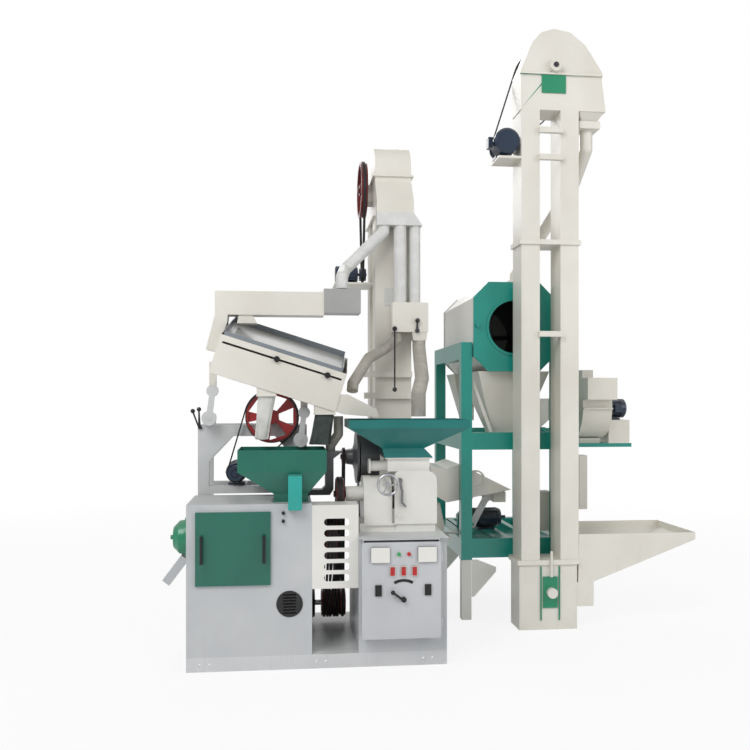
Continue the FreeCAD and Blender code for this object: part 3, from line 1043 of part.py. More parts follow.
sizes(middle_motor_radius=60, middle_motor_x=1000, fan_motor_radius=68, fan_motor_height=1372, fan_axis_y=1210,
      destoner_motor_radius=68, intake_motor_radius=82, intake_motor_x=1889, intake_shelf=2945, intake_axis_x=2185,
      intake_axis_height=3506, intake_wheel_radius=190, intake_wheel_y=812, intake_wheel_width=40,
      lower_rail_top=528)
derive(middle_motor_height="2202 + middle_motor_radius * 1.18", intake_motor_height="intake_shelf + intake_motor_radius * 1.18",
       destoner_motor_height="lower_rail_top + destoner_motor_radius * 1.18")


def small_pulley(label, radius, axis, x, y, z, width, bore):
    return move(aim(pulley(label, radius, width, bore, f"{bore} + 9", 1), axis), x, y, z)


subpart("electric_motors",
        motor("separator_motor_x", "500", "separator_motor_height", (0, 1, 0), "separator_motor_radius", "210", "90"),
        small_pulley("separator_drive", "44", "Y", "separator_motor_x", "eccentric_y", "separator_motor_height",
                     "eccentric_width", "separator_motor_radius * 0.16"),
        motor("middle_motor_x", "middle_axis_y", "middle_motor_height", (-1, 0, 0), "middle_motor_radius", "150", "62"),
        small_pulley("middle_drive", "42", "X", "middle_wheel_x", "middle_axis_y", "middle_motor_height",
                     "middle_wheel_width", "middle_motor_radius * 0.16"),
        motor("2729", "fan_axis_y", "fan_motor_height", (1, 0, 0), "fan_motor_radius", "160", "6"),
        motor("2018", "1300", "destoner_motor_height", (-1, 0, 0), "destoner_motor_radius", "232", "40"),
        motor("intake_motor_x", "790", "intake_motor_height", (0, -1, 0), "intake_motor_radius", "190", "70"),
        small_pulley("intake_drive", "50", "Y", "intake_motor_x", "intake_wheel_y", "intake_motor_height",
                     "intake_wheel_width", "intake_motor_radius * 0.16"))

drives = []
for offset in ("4", "24", "42"):
    drives.append(belt("X", f"mill_pulley_x + {offset}", "14", ("motor_y", "motor_axis_height"), "drive_radius",
                       ("mill_axis_y", "mill_axis_height"), "mill_pulley_radius"))
for offset in ("6", "24"):
    drives.append(belt("X", f"huller_pulley_x + {offset}", "14", ("motor_y", "motor_axis_height"), "drive_radius",
                       ("fast_roll_y", "fast_roll_height"), "huller_pulley_radius"))
drives.append(belt("X", "fan_pulley_x + 4", "14", ("motor_y", "motor_axis_height"), "drive_radius",
                   ("fan_y", "fan_height"), "fan_pulley_radius"))
drives.append(belt("Y", "eccentric_y + 12", "16", ("separator_motor_x", "separator_motor_height"), "44",
                   ("eccentric_x", "eccentric_height"), "eccentric_radius"))
drives.append(belt("X", "middle_wheel_x + 14", "16", ("middle_axis_y", "middle_motor_height"), "42",
                   ("middle_axis_y", "middle_axis_height"), "middle_wheel_radius"))
drives.append(belt("Y", "intake_wheel_y + 12", "16", ("intake_motor_x", "intake_motor_height"), "50",
                   ("intake_axis_x", "intake_axis_height"), "intake_wheel_radius"))
subpart("drive_belts", *drives)
# ---- drum cleaner, destoner and fan on one frame ----

sizes(frame_left=1654, frame_right=2335, frame_front=875, frame_back=1850, post_width=72, post_depth=70,
      frame_foot=390, frame_top=1806, top_rail=110, middle_rail_base=1106, middle_rail=112, lower_rail_base=403,
      foot_width=63, drum_left=1734, drum_length=528, drum_base=1619, drum_height=574, drum_corner=96,
      drum_front=870, drum_back=1850, window_x=2000, window_height=1905, window_radius=171, drum_radius=218,
      drum_shaft=20, door_depth=20, destoner_front=962, destoner_depth=520, swing_x=94, swing_rise=167,
      swing_pivot_x=1760, swing_pivot_height=601, swing_pin=10, swing_thick=16)
derive(lower_rail="lower_rail_top - lower_rail_base", frame_inside="frame_back - frame_front - 2 * post_depth",
       frame_bay="frame_right - frame_left - 2 * post_width", back_post="frame_back - post_depth",
       drum_axis_height="drum_base + drum_height / 2", drum_axis_x="drum_left + drum_length / 2")
frame = []
for across in ("frame_left", "frame_right - post_width"):
    for front in ("frame_front", "back_post"):
        frame.append(block(across, "post_width", front, "post_depth", "frame_foot", "frame_top - frame_foot"))
        frame.append(block(f"{across} + 5", "foot_width", f"{front} + 3", "63", "0", "frame_foot"))
    for base, height in (("frame_top - top_rail", "top_rail"), ("middle_rail_base", "middle_rail"),
                         ("lower_rail_base", "lower_rail")):
        frame.append(block(across, "post_width", "frame_front + post_depth", "frame_inside", base, height))
for front in ("frame_front", "back_post"):
    for base, height in (("middle_rail_base", "middle_rail"), ("lower_rail_base", "lower_rail")):
        frame.append(block("frame_left + post_width", "frame_bay", front, "post_depth", base, height))
frame += [block(across, "40", "frame_front + post_depth", "frame_inside", "lower_rail_base + 40", "lower_rail - 40")
          for across in ("1740", "1840", "1950", "2100")]
frame += [block("swing_pivot_x - 24", "48", front, "40", "lower_rail_top", "swing_pivot_height + 20 - lower_rail_top")
          for front in ("destoner_front + 60 + swing_thick + fit", "destoner_front + destoner_depth - 100")]
frame += [rod("Y", "swing_pivot_x", "destoner_front + 57", "swing_pivot_height", "3 + swing_thick + fit", "swing_pin"),
          rod("Y", "swing_pivot_x", "destoner_front + destoner_depth - 60", "swing_pivot_height", "22", "swing_pin")]
for front in ("frame_front + 3", "back_post + 3"):
    frame.append(sheet_of("XZ", front, "6", [("1725", "390"), ("1725", "150"), ("1740", "150"), ("1885", "310"), ("1885", "340"), ("1760", "390")]))
frame += [block("frame_right", "565", front, "40", "middle_rail_base", "26") for front in ("1100", "1280")]
frame += [block("frame_right - post_width", "post_width + 10", front, "40", "middle_rail_base + middle_rail", "20")
          for front in ("1100", "1280")]
subpart("cleaner_frame", *frame)


def octagon(inset):
    """The drum casing's corners, drawn in by a wall."""
    cut_in = f"(drum_corner - ({inset}) * 0.586)"
    left, right = f"drum_left + {inset}", f"drum_left + drum_length - ({inset})"
    low, high = f"drum_base + {inset}", f"drum_base + drum_height - ({inset})"
    return [(f"{left} + {cut_in}", low), (f"{right} - {cut_in}", low), (right, f"{low} + {cut_in}"),
            (right, f"{high} - {cut_in}"), (f"{right} - {cut_in}", high), (f"{left} + {cut_in}", high),
            (left, f"{high} - {cut_in}"), (left, f"{low} + {cut_in}")]


outer, inner = octagon("0"), octagon("panel_wall")
shell = [sheet_of("XZ", "drum_front + fit", "drum_back - drum_front - fit", [outer[i], outer[(i + 1) % 8], inner[(i + 1) % 8], inner[i]])
         for i in range(8)]
shell.append(sheet_of("XZ", "drum_back", "20", octagon("-6"), ("circle", "drum_axis_x", "drum_axis_height", "drum_shaft + shaft_clearance")))
socket = walls(("2020", "2140", "1040", "1160", "drum_base + drum_height"), ("2020", "2140", "1040", "1160", "2235"), "panel_wall")
subpart("drum_housing", *shell, *socket, block("2020", "120", "1040", "120", "2235", "3"), block("frame_left + post_width", "drum_left - frame_left - post_width", "drum_front + 80", "800", "1740", "60"),
        block("drum_left + drum_length", "frame_right - post_width - drum_left - drum_length", "drum_front + 80", "800", "1740", "60"))

door = start_body("octagon_door")
pad(door, "XZ", "drum_front - door_depth", "door_depth", octagon("-4"), ("circle", "window_x", "window_height", "window_radius"))
rim_ring = start_body("rim_ring")
pad(rim_ring, "XZ", "drum_front - door_depth - 8", "8", ("circle", "window_x", "window_height", "window_radius + 16"),
    ("circle", "window_x", "window_height", "window_radius"))
subpart("drum_door", door, rim_ring, rod("Y", "1754", "drum_front - door_depth - 26", "1914", "26", "13"))

mesh = start_body("mesh")
revolve(mesh, rectangle("drum_radius", "panel_wall", "0", "drum_back - drum_front - 60"))
spider = start_body("spider")
pad(spider, "XY", "drum_back - drum_front - 90", "12", ("circle", "0", "0", "60"))
arm = pad(spider, "XY", "drum_back - drum_front - 90", "12", rectangle("50", "drum_radius - 50", "-15", "30"))
repeat_round(spider, arm, 4)
subpart("drum_screen", move(aim(group(fuse(mesh, spider, rod("Z", "0", "0", "drum_back - drum_front - 160", "220", "drum_shaft"))), "Y"),
                            "drum_axis_x", "drum_front + 40", "drum_axis_height"))

big_funnel = walls(("1890", "2100", "1000", "1200", "1222"), ("1772", "2250", "900", "1500", "drum_base - fit"), "panel_wall")
small_funnel = walls(("1800", "1880", "1500", "1600", "1283"), ("1734", "1884", "1502", "1780", "drum_base - fit"), "panel_wall")
left_chute = sheet_of("XZ", "1040", "120", [("1490", "740"), ("1521", "562"), ("1521", "528"), ("1572", "528"), ("1572", "600"), ("1545", "740")])
subpart("cleaner_hopper", left_chute, *big_funnel, *small_funnel, sheet_of("XZ", "925", "20", [("1728", "1560"), ("1853", "1218"), ("1877", "1218"), ("1749", "1560")]),
        block("1890", "210", "1000", "200", "1180", "42"),
        block("frame_left + post_width", "frame_bay", "1080", "40", "1150", "30"))

destoner = start_body("destoner_box")
pad(destoner, "XZ", "destoner_front", "destoner_depth", [
    ("1470", "991"), ("1474", "815"), ("1576", "755"), ("1837", "802"), ("2010", "834"), ("1662", "1006"), ("1576", "975")])
subpart("destoner_body", destoner,
        sheet_of("XZ", "destoner_front - 10", "10", ("circle", "1769", "905", "62"), ("circle", "1769", "905", "50")),
        block("1906", "82", "destoner_front + 60", "400", "745", "69"),
        *[sheet_of("XZ", front, "30", [("1836", "746"), ("1872", "746"), ("1872", "808.2"), ("1837", "801.8")])
          for front in ("destoner_front + 60 + swing_thick + fit", "destoner_front + destoner_depth - 90")])
swing_outline = [("swing_pivot_x - 22", "swing_pivot_height"), ("swing_pivot_x + 22", "swing_pivot_height - 10"),
                 ("swing_pivot_x + swing_x + 20", "swing_pivot_height + swing_rise - 4"),
                 ("swing_pivot_x + swing_x - 20", "swing_pivot_height + swing_rise + 10")]
arms = []
for front in ("destoner_front + 60", "destoner_front + destoner_depth - 60 + fit"):
    arm_body = start_body("swing_arm")
    pad(arm_body, "XZ", front, "swing_thick", swing_outline)
    pad(arm_body, "XZ", front, "swing_thick", ("circle", "swing_pivot_x", "swing_pivot_height", "26"))
    pad(arm_body, "XZ", front, "swing_thick", ("circle", "swing_pivot_x + swing_x", "swing_pivot_height + swing_rise", "24"))
    pocket(arm_body, "XZ", front, "swing_thick", ("circle", "swing_pivot_x", "swing_pivot_height", "swing_pin + shaft_clearance"))
    arms.append(arm_body)
subpart("destoner_rocker", *arms)

fan_scroll = start_body("fan_scroll")
scroll_radius = "206"
pad(fan_scroll, "YZ", "2519", "204", [
    ("fan_axis_y", f"fan_motor_height + {scroll_radius}"), ("fan_axis_y - 206 - 90", f"fan_motor_height + {scroll_radius}"),
    ("fan_axis_y - 206 - 90", "fan_motor_height + 60"), ("fan_axis_y - 206", "fan_motor_height + 60"),
    ("fan_axis_y - 206", "fan_motor_height"), ("left", scroll_radius), ("fan_axis_y", "fan_motor_height - 206"),
    ("left", scroll_radius), ("fan_axis_y + 206", "fan_motor_height"), ("left", scroll_radius)])
subpart("fan_housing", fan_scroll,
        *[block("2519", "204", front, "18", "fan_motor_height - 5", "10") for front in ("fan_axis_y - 224", "fan_axis_y + 206")],
        block("2545", "150", "fan_axis_y - 60", "120", "middle_rail_base + 26", "fan_motor_height - 206 - middle_rail_base - 26"),
        block("2736", "150", "fan_axis_y - 110", "220", "middle_rail_base + 26", "fan_motor_height - fan_motor_radius * 1.18 - middle_rail_base - 26"),
        block("2545", "76", "fan_axis_y - 120", "76", "fan_motor_height + 206", "58"),
        block("2330", "189", "fan_axis_y - 55", "110", "1290", "150"),
        sheet_of("XZ", "fan_axis_y - 50", "100", [("2262", "1232"), ("2330", "1290"), ("2330", "1440"), ("2262", "1440")]),
        sheet_of("XZ", "fan_axis_y - 50", "100", [("2105.6", "1236"), ("2262", "1236"), ("2262", "1296"), ("2128.4", "1296")]),
        block("2192", "83", "945", "100", "561", "260"), block("2275", "196", "960", "60", "700", "40"),
        block("2471", "55", "945", "90", "700", "359"))

# ---- intake elevator, its hopper and spout ----

sizes(intake_front=600, intake_depth=195, boot_left=1962, boot_width=369, boot_top=405, left_leg=1975, leg_width=117,
      right_leg=2225, leg_top=3237, intake_head_left=1971, intake_head_width=546, shoulder=3485, intake_shaft=16,
      green_thick=8)
derive(intake_back="intake_front + intake_depth")
subpart("intake_elevator",
        block("boot_left", "boot_width", "intake_front", "intake_depth", "0", "boot_top"),
        block("boot_left - 13", "boot_width + 26", "intake_front - 13", "intake_depth + 26", "boot_top", "29"),
        block("left_leg", "leg_width", "intake_front", "intake_depth", "boot_top + 29", "leg_top - boot_top - 29"),
        block("right_leg", "leg_width", "intake_front", "intake_depth", "boot_top + 29", "leg_top - boot_top - 29"),
        sheet_of("XY", "2398", "30", rectangle("left_leg - 12", "right_leg - left_leg + leg_width + 24", "intake_front - 12",
                                               "intake_depth + 24"),
                 *[rectangle(leg, "leg_width", "intake_front", "intake_depth") for leg in ("left_leg", "right_leg")]),
        *[block(across, "8", "intake_front - green_thick", "green_thick", "60", "334") for across in ("2094", "2212")],
        block("2111", "93", "intake_front - green_thick", "green_thick", "137", "194"),
        rod("Y", "2163", "intake_front - green_thick - 34", "233", "34", "32"),
        rod("Z", "2161", "intake_front - 21", "331", "160", "8"),
        *[block("left_leg + leg_width - 10", "right_leg - left_leg - leg_width + 20", "intake_front - 30", "30", level, "34")
          for level in ("2921", "3089", "1823")],
        block("1830", "left_leg - 1830", "intake_front", "intake_depth", "intake_shelf - 14", "14"))
intake_dome = start_body("intake_dome")
pad(intake_dome, "XZ", "intake_front", "intake_depth", [
    ("intake_head_left", "leg_top"), ("intake_head_left + intake_head_width", "leg_top"),
    ("intake_head_left + intake_head_width - 24", "shoulder - 60"), ("2494", "shoulder"), ("2386", "3649"), ("2290", "3725"),
    ("intake_axis_x", "3745"), ("2100", "3718"), ("2040", "3648"), ("intake_head_left", "shoulder")])
pocket(intake_dome, "XZ", "intake_front", "intake_depth", ("circle", "intake_axis_x", "intake_axis_height", "intake_shaft + shaft_clearance"))
head_bearings = []
for front in ("intake_front - 40", "intake_back"):
    depth = "40" if front == "intake_front - 40" else "intake_wheel_y - intake_back - 4"
    head_bearings.append(sheet_of("XZ", front, depth, ("circle", "intake_axis_x", "intake_axis_height", "38"),
                                  ("circle", "intake_axis_x", "intake_axis_height", "intake_shaft + shaft_clearance")))
subpart("intake_head", intake_dome, *head_bearings,
        sheet_of("XZ", "intake_front - green_thick", "green_thick", rectangle("2104", "153", "3342", "112")),
        block("intake_head_left - 7", "530", "intake_front - 14", "14", "shoulder - 30", "12"))
intake_wheel = pulley("intake_wheel", "intake_wheel_radius", "intake_wheel_width", "intake_shaft", "36", 1, 5)
move(aim(intake_wheel, "Y"), "intake_axis_x", "intake_wheel_y", "intake_axis_height")
subpart("intake_head_shaft", intake_wheel,
        rod("Y", "intake_axis_x", "intake_front - 46", "intake_axis_height", "intake_wheel_y + intake_wheel_width + 52 - intake_front", "intake_shaft"))
subpart("intake_spout",
        taper(("2375", "2477", "650", "750", "3187"), ("2350", "2510", "intake_front + 6", "intake_back - 6", "leg_top")),
        block("2358", "136", "632", "136", "3142", "45"),
        pipe("40", ("2426", "700", "3142"), ("2426", "700", "3023"), ("2402", "860", "2850"), ("2080", "1100", "2280"),
             ("2080", "1100", "2238")))
subpart("intake_hopper",
        block("boot_left + boot_width", "112", "intake_front + 10", "intake_depth - 20", "137", "152"),
        *walls(("2344", "2443", "intake_front + 12", "intake_back - 12", "289"), ("2344", "3108", "intake_front", "1150", "545"), "panel_wall"),
        *walls(("2344", "3108", "intake_front", "1150", "545"), ("2344", "3108", "intake_front", "1150", "590"), "panel_wall"))

# ---- check and write ----

doc.recompute()
faults = [f"{thing.Label}: {thing.State}" for thing in doc.Objects
          if {"Invalid", "Error"} & set(thing.State)]
for thing in SUBPARTS:
    if thing.Shape.isNull() or not thing.Shape.isValid() or not thing.Shape.Solids:
        faults.append(f"{thing.Label}: no valid solid")
if faults:
    raise RuntimeError("; ".join(faults))
os.makedirs("parts", exist_ok=True)
for thing in SUBPARTS:
    thing.Shape.exportStep(f"parts/{thing.Label}.step")
print(f"{len(SUBPARTS)} sub-parts, {sum(len(thing.Shape.Solids) for thing in SUBPARTS)} solids")
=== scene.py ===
# Combined rice plant dressed for rendering: finishes on the CAD nodes, and the cloth
# socks with their chutes under the separator.
import math

import bpy
import numpy as np
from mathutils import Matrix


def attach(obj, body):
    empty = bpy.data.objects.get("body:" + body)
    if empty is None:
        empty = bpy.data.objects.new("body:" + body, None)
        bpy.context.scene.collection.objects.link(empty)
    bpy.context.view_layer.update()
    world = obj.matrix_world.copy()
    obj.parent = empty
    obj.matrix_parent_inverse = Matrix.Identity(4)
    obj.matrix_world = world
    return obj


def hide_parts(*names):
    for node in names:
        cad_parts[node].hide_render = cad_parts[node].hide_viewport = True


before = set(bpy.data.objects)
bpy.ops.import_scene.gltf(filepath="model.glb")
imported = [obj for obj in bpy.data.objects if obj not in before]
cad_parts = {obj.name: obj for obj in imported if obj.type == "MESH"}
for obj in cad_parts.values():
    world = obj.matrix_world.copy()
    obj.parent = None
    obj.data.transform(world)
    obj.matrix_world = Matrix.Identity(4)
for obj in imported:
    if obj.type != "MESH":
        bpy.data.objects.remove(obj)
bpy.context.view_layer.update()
print("stage: frame loaded", len(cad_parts), "nodes")

# the row frame's origin, in mm from the base's front left corner
plantOrigin = np.array([694.0, 30.0, 0.0])


def at(points):
    # Plant millimetres to row metres: subtract the origin and divide by a thousand.
    return (np.asarray(points, float) - plantOrigin) / 1000.0


def tone(red, green, blue):
    # A colour on screen to the linear value that shaders use.
    parts = np.array([red, green, blue]) / 255.0
    linear = np.where(parts <= 0.04045, parts / 12.92, ((parts + 0.055) / 1.055) ** 2.4)
    return tuple(float(v) for v in linear) + (1.0,)


# camera

viewPoint = {"eye": (-0.1784, -4.4789, 1.430), "turn": -6.16, "lens": 40.03, "lift": 0.0333}
cameraData = bpy.data.cameras.new("mainCamera")
cameraData.lens = viewPoint["lens"]
cameraData.sensor_width = 36.0
cameraData.shift_y = viewPoint["lift"]
cameraData.clip_end = 60.0
camera = bpy.data.objects.new("mainCamera", cameraData)
camera.location = viewPoint["eye"]
camera.rotation_euler = (math.pi / 2, 0.0, math.radians(viewPoint["turn"]))
bpy.context.collection.objects.link(camera)
bpy.context.scene.camera = camera
print("stage: camera placed")

# shader groups


def newGroup(name, inputs, outputs):
    # An empty shader group with named sockets: inputs are (name, kind, value).
    group = bpy.data.node_groups.new(name, "ShaderNodeTree")
    for label, kind, value in inputs:
        socket = group.interface.new_socket(name=label, in_out="INPUT", socket_type="NodeSocket" + kind)
        socket.default_value = value
    for label, kind in outputs:
        group.interface.new_socket(name=label, in_out="OUTPUT", socket_type="NodeSocket" + kind)
    return group, group.nodes.new("NodeGroupInput"), group.nodes.new("NodeGroupOutput")


def addNode(tree, kind, values=None, **settings):
    # A node of one kind with its settings, and plain values on its sockets.
    node = tree.nodes.new("ShaderNode" + kind)
    for key, value in settings.items():
        setattr(node, key, value)
    for key, value in (values or {}).items():
        node.inputs[key].default_value = value
    return node


def join(tree, start, finish):
    tree.links.new(start, finish)


def mixColour(tree, factor, first, second, blend="MIX"):
    # A colour mix; each of the three may be a socket or a plain value.
    node = addNode(tree, "Mix", data_type="RGBA", blend_type=blend)
    for socket, value in ((node.inputs[0], factor), (node.inputs[6], first), (node.inputs[7], second)):
        if hasattr(value, "is_output"):
            join(tree, value, socket)
        else:
            socket.default_value = value
    return node.outputs[2]


def ramp(tree, source, low, high):
    # A value stretched so that low becomes 0 and high becomes 1, and held there.
    node = addNode(tree, "MapRange", {"From Min": low, "From Max": high}, clamp=True)
    join(tree, source, node.inputs["Value"])
    return node.outputs[0]


def maths(tree, operation, first, second):
    node = addNode(tree, "Math", operation=operation)
    for socket, value in ((node.inputs[0], first), (node.inputs[1], second)):
        if hasattr(value, "is_output"):
            join(tree, value, socket)
        else:
            socket.default_value = value
    return node.outputs[0]


def buildCoatGroup():
    # Sprayed machine paint: slow shade drift, fine orange peel, chalky rice dust on
    # faces that look up, and scuffs that thicken towards the floor.
    tree, entry, leave = newGroup("sprayedCoat", [
        ("Colour", "Color", (0.8, 0.8, 0.8, 1)), ("Shade", "Color", (0.7, 0.7, 0.7, 1)),
        ("Dust", "Float", 0.3), ("Scuff", "Float", 0.3), ("Gloss", "Float", 0.4)],
        [("Colour", "Color"), ("Roughness", "Float"), ("Height", "Float")])
    place = addNode(tree, "TexCoord").outputs["Object"]
    facing = addNode(tree, "NewGeometry").outputs["Normal"]
    drift = addNode(tree, "TexNoise", {"Scale": 2.6, "Detail": 3.0})
    peel = addNode(tree, "TexNoise", {"Scale": 420.0, "Detail": 2.0})
    streakPlace = addNode(tree, "Mapping", {"Scale": (34.0, 34.0, 2.2)})
    streak = addNode(tree, "TexNoise", {"Scale": 1.0, "Detail": 5.0, "Roughness": 0.62})
    speck = addNode(tree, "TexNoise", {"Scale": 95.0, "Detail": 6.0, "Roughness": 0.7})
    join(tree, place, streakPlace.inputs[0])
    join(tree, streakPlace.outputs[0], streak.inputs["Vector"])
    for node in (drift, peel, speck):
        join(tree, place, node.inputs["Vector"])
    shaded = mixColour(tree, ramp(tree, drift.outputs[0], 0.35, 0.7),
                       entry.outputs["Colour"], entry.outputs["Shade"])
    height = addNode(tree, "SeparateXYZ")
    join(tree, place, height.inputs[0])
    low = ramp(tree, height.outputs["Z"], 1.5, 0.0)  # 1 at the floor, 0 at chest height
    runs = maths(tree, "MULTIPLY", ramp(tree, streak.outputs[0], 0.56, 0.9),
                 maths(tree, "ADD", maths(tree, "MULTIPLY", low, 0.75), 0.25))
    chips = ramp(tree, speck.outputs[0], 0.69, 0.76)
    marks = maths(tree, "MULTIPLY", maths(tree, "MAXIMUM", runs, chips), entry.outputs["Scuff"])
    dulled = mixColour(tree, marks, shaded, (0.23, 0.215, 0.19, 1))
    upward = addNode(tree, "SeparateXYZ")
    join(tree, facing, upward.inputs[0])
    settled = maths(tree, "MULTIPLY", ramp(tree, upward.outputs["Z"], 0.35, 0.95),
                    maths(tree, "ADD", maths(tree, "MULTIPLY", drift.outputs[0], 0.9), 0.15))
    settled = maths(tree, "MULTIPLY", settled, entry.outputs["Dust"])
    join(tree, mixColour(tree, settled, dulled, (0.60, 0.56, 0.48, 1)), leave.inputs["Colour"])
    soiled = maths(tree, "MULTIPLY", maths(tree, "ADD", marks, settled), 0.35)
    rough = maths(tree, "ADD", entry.outputs["Gloss"], soiled)
    rippled = maths(tree, "MULTIPLY", peel.outputs[0], 0.05)
    join(tree, maths(tree, "ADD", rough, rippled), leave.inputs["Roughness"])
    join(tree, peel.outputs[0], leave.inputs["Height"])
    return tree


def buildCastGroup():
    # Cast or drawn metal: grain of three sizes, dark hollows and rubbed high spots.
    tree, entry, leave = newGroup("foundryGrain", [
        ("Colour", "Color", (0.5, 0.5, 0.5, 1)), ("Rubbed", "Color", (0.6, 0.6, 0.6, 1)),
        ("Grain", "Float", 120.0), ("Gloss", "Float", 0.4)],
        [("Colour", "Color"), ("Roughness", "Float"), ("Height", "Float")])
    place = addNode(tree, "TexCoord").outputs["Object"]
    coarse = addNode(tree, "TexNoise", {"Detail": 6.0, "Roughness": 0.6})
    fine = addNode(tree, "TexNoise", {"Scale": 900.0, "Detail": 2.0})
    cloud = addNode(tree, "TexNoise", {"Scale": 14.0, "Detail": 4.0})
    for node in (coarse, fine, cloud):
        join(tree, place, node.inputs["Vector"])
    join(tree, entry.outputs["Grain"], coarse.inputs["Scale"])
    worn = mixColour(tree, ramp(tree, cloud.outputs[0], 0.48, 0.72),
                     entry.outputs["Colour"], entry.outputs["Rubbed"])
    pits = maths(tree, "MULTIPLY", ramp(tree, coarse.outputs[0], 0.5, 0.32), 0.45)
    join(tree, mixColour(tree, pits, worn, (0.03, 0.028, 0.025, 1)), leave.inputs["Colour"])
    uneven = maths(tree, "MULTIPLY", coarse.outputs[0], 0.18)
    join(tree, maths(tree, "ADD", entry.outputs["Gloss"], uneven), leave.inputs["Roughness"])
    grit = maths(tree, "MULTIPLY", fine.outputs[0], 0.3)
    join(tree, maths(tree, "ADD", coarse.outputs[0], grit), leave.inputs["Height"])
    return tree


coatGroup = buildCoatGroup()
castGroup = buildCastGroup()


def newMaterial(name):
    material = bpy.data.materials.new(name)
    material.use_nodes = True
    tree = material.node_tree
    return material, tree, tree.nodes["Principled BSDF"]


def finishWith(name, group, values, metal=0.0, coat=0.0, relief=0.02, depth=0.0004):
    # A material whose shader takes colour, roughness and bump from one group.
    material, tree, shader = newMaterial(name)
    node = tree.nodes.new("ShaderNodeGroup")
    node.node_tree = group
    for key, value in values.items():
        node.inputs[key].default_value = value
    join(tree, node.outputs["Colour"], shader.inputs["Base Color"])
    join(tree, node.outputs["Roughness"], shader.inputs["Roughness"])
    bump = addNode(tree, "Bump", {"Strength": relief, "Distance": depth})
    join(tree, node.outputs["Height"], bump.inputs["Height"])
    join(tree, bump.outputs[0], shader.inputs["Normal"])
    shader.inputs["Metallic"].default_value = metal
    shader.inputs["Coat Weight"].default_value = coat
    shader.inputs["Coat Roughness"].default_value = 0.18
    return material


def paint(name, colour, shade, dust=0.25, scuff=0.25, gloss=0.34, coat=0.25):
    return finishWith(name, coatGroup, {"Colour": tone(*colour), "Shade": tone(*shade), "Dust": dust,
                                        "Scuff": 0.6 * scuff, "Gloss": gloss}, coat=coat, relief=0.12)


def casting(name, colour, rubbed, grain=120.0, gloss=0.4, metal=1.0, relief=0.25):
    return finishWith(name, castGroup, {"Colour": tone(*colour), "Rubbed": tone(*rubbed), "Grain": grain,
                                        "Gloss": gloss}, metal=metal, relief=relief, depth=0.0008)


cream = paint("creamPaint", (226, 223, 214), (216, 212, 202))
paleGrey = paint("paleGreyPaint", (204, 205, 205), (193, 195, 196))
cabinetGrey = paint("cabinetGreyPaint", (196, 198, 200), (184, 187, 190), scuff=0.2)
boxGrey = paint("boxGreyPaint", (198, 200, 203), (188, 190, 194), scuff=0.15)
channelGrey = paint("channelGreyPaint", (208, 209, 210), (196, 197, 199), scuff=0.45)
fullWhite = paint("whitePaint", (232, 231, 226), (222, 220, 214), scuff=0.2)
doorGreen = paint("doorGreenPaint", (14, 106, 86), (10, 96, 79), gloss=0.28, coat=0.5)
hopperGreen = paint("hopperGreenPaint", (20, 108, 90), (15, 98, 82), gloss=0.3, coat=0.4, dust=0.35)
hopperTeal = paint("hopperTealPaint", (12, 116, 112), (9, 104, 101), gloss=0.28, coat=0.5)
brightTeal = paint("brightTealPaint", (34, 168, 158), (28, 154, 146), gloss=0.26, coat=0.5)
cleanerTeal = paint("cleanerTealPaint", (22, 150, 136), (18, 138, 126), gloss=0.28, coat=0.5)
bracketGreen = paint("bracketGreenPaint", (20, 138, 98), (16, 124, 88), gloss=0.3, coat=0.4)
trayGrey = paint("trayGreyPaint", (132, 140, 146), (118, 126, 133), dust=0.6, gloss=0.4)
ductGrey = paint("ductGreyPaint", (168, 168, 166), (154, 155, 154), dust=0.4)
funnelGrey = paint("funnelGreyPaint", (92, 94, 97), (78, 80, 84), dust=0.2)
motorBlue = paint("motorBluePaint", (24, 46, 70), (18, 36, 58), gloss=0.3, coat=0.35, dust=0.3)
motorDark = paint("motorDarkPaint", (20, 26, 34), (14, 18, 25), gloss=0.36, coat=0.2, dust=0.3)
pulleyRed = paint("pulleyRedPaint", (186, 32, 36), (160, 24, 28), gloss=0.34, coat=0.3, scuff=0.3)
darkRed = paint("darkRedPaint", (112, 30, 30), (92, 22, 22), gloss=0.4, coat=0.2, scuff=0.4)
blackPaint = paint("blackPaint", (26, 26, 28), (18, 18, 20), gloss=0.4, dust=0.2)
bareSteel = casting("bareSteel", (150, 150, 152), (196, 196, 198), grain=260.0, gloss=0.26)
darkSteel = casting("darkSteel", (66, 66, 70), (104, 104, 108), grain=220.0, gloss=0.34)
brightZinc = casting("brightZinc", (200, 200, 204), (226, 226, 230), grain=320.0, gloss=0.2)
rollRubber = casting("rollRubber", (96, 74, 60), (120, 96, 80), grain=160.0, gloss=0.6, metal=0.0)
beltRubber = casting("beltRubber", (22, 22, 23), (38, 38, 40), grain=420.0, gloss=0.5, metal=0.0)
blackPlastic = casting("blackPlastic", (18, 18, 20), (30, 30, 32),
                       grain=600.0, gloss=0.3, metal=0.0, relief=0.08)
hosePlastic = casting("hosePlastic", (172, 167, 158), (186, 182, 174),
                      grain=300.0, gloss=0.45, metal=0.0, relief=0.08)
pipePlastic = casting("pipePlastic", (216, 216, 214), (226, 226, 224),
                      grain=300.0, gloss=0.36, metal=0.0, relief=0.06)
lampGreen = paint("lampGreenLens", (24, 158, 84), (18, 140, 72), dust=0.0,
                  scuff=0.0, gloss=0.12, coat=0.6)
print("stage: finishes made", len(bpy.data.materials))

# finishes on the CAD nodes


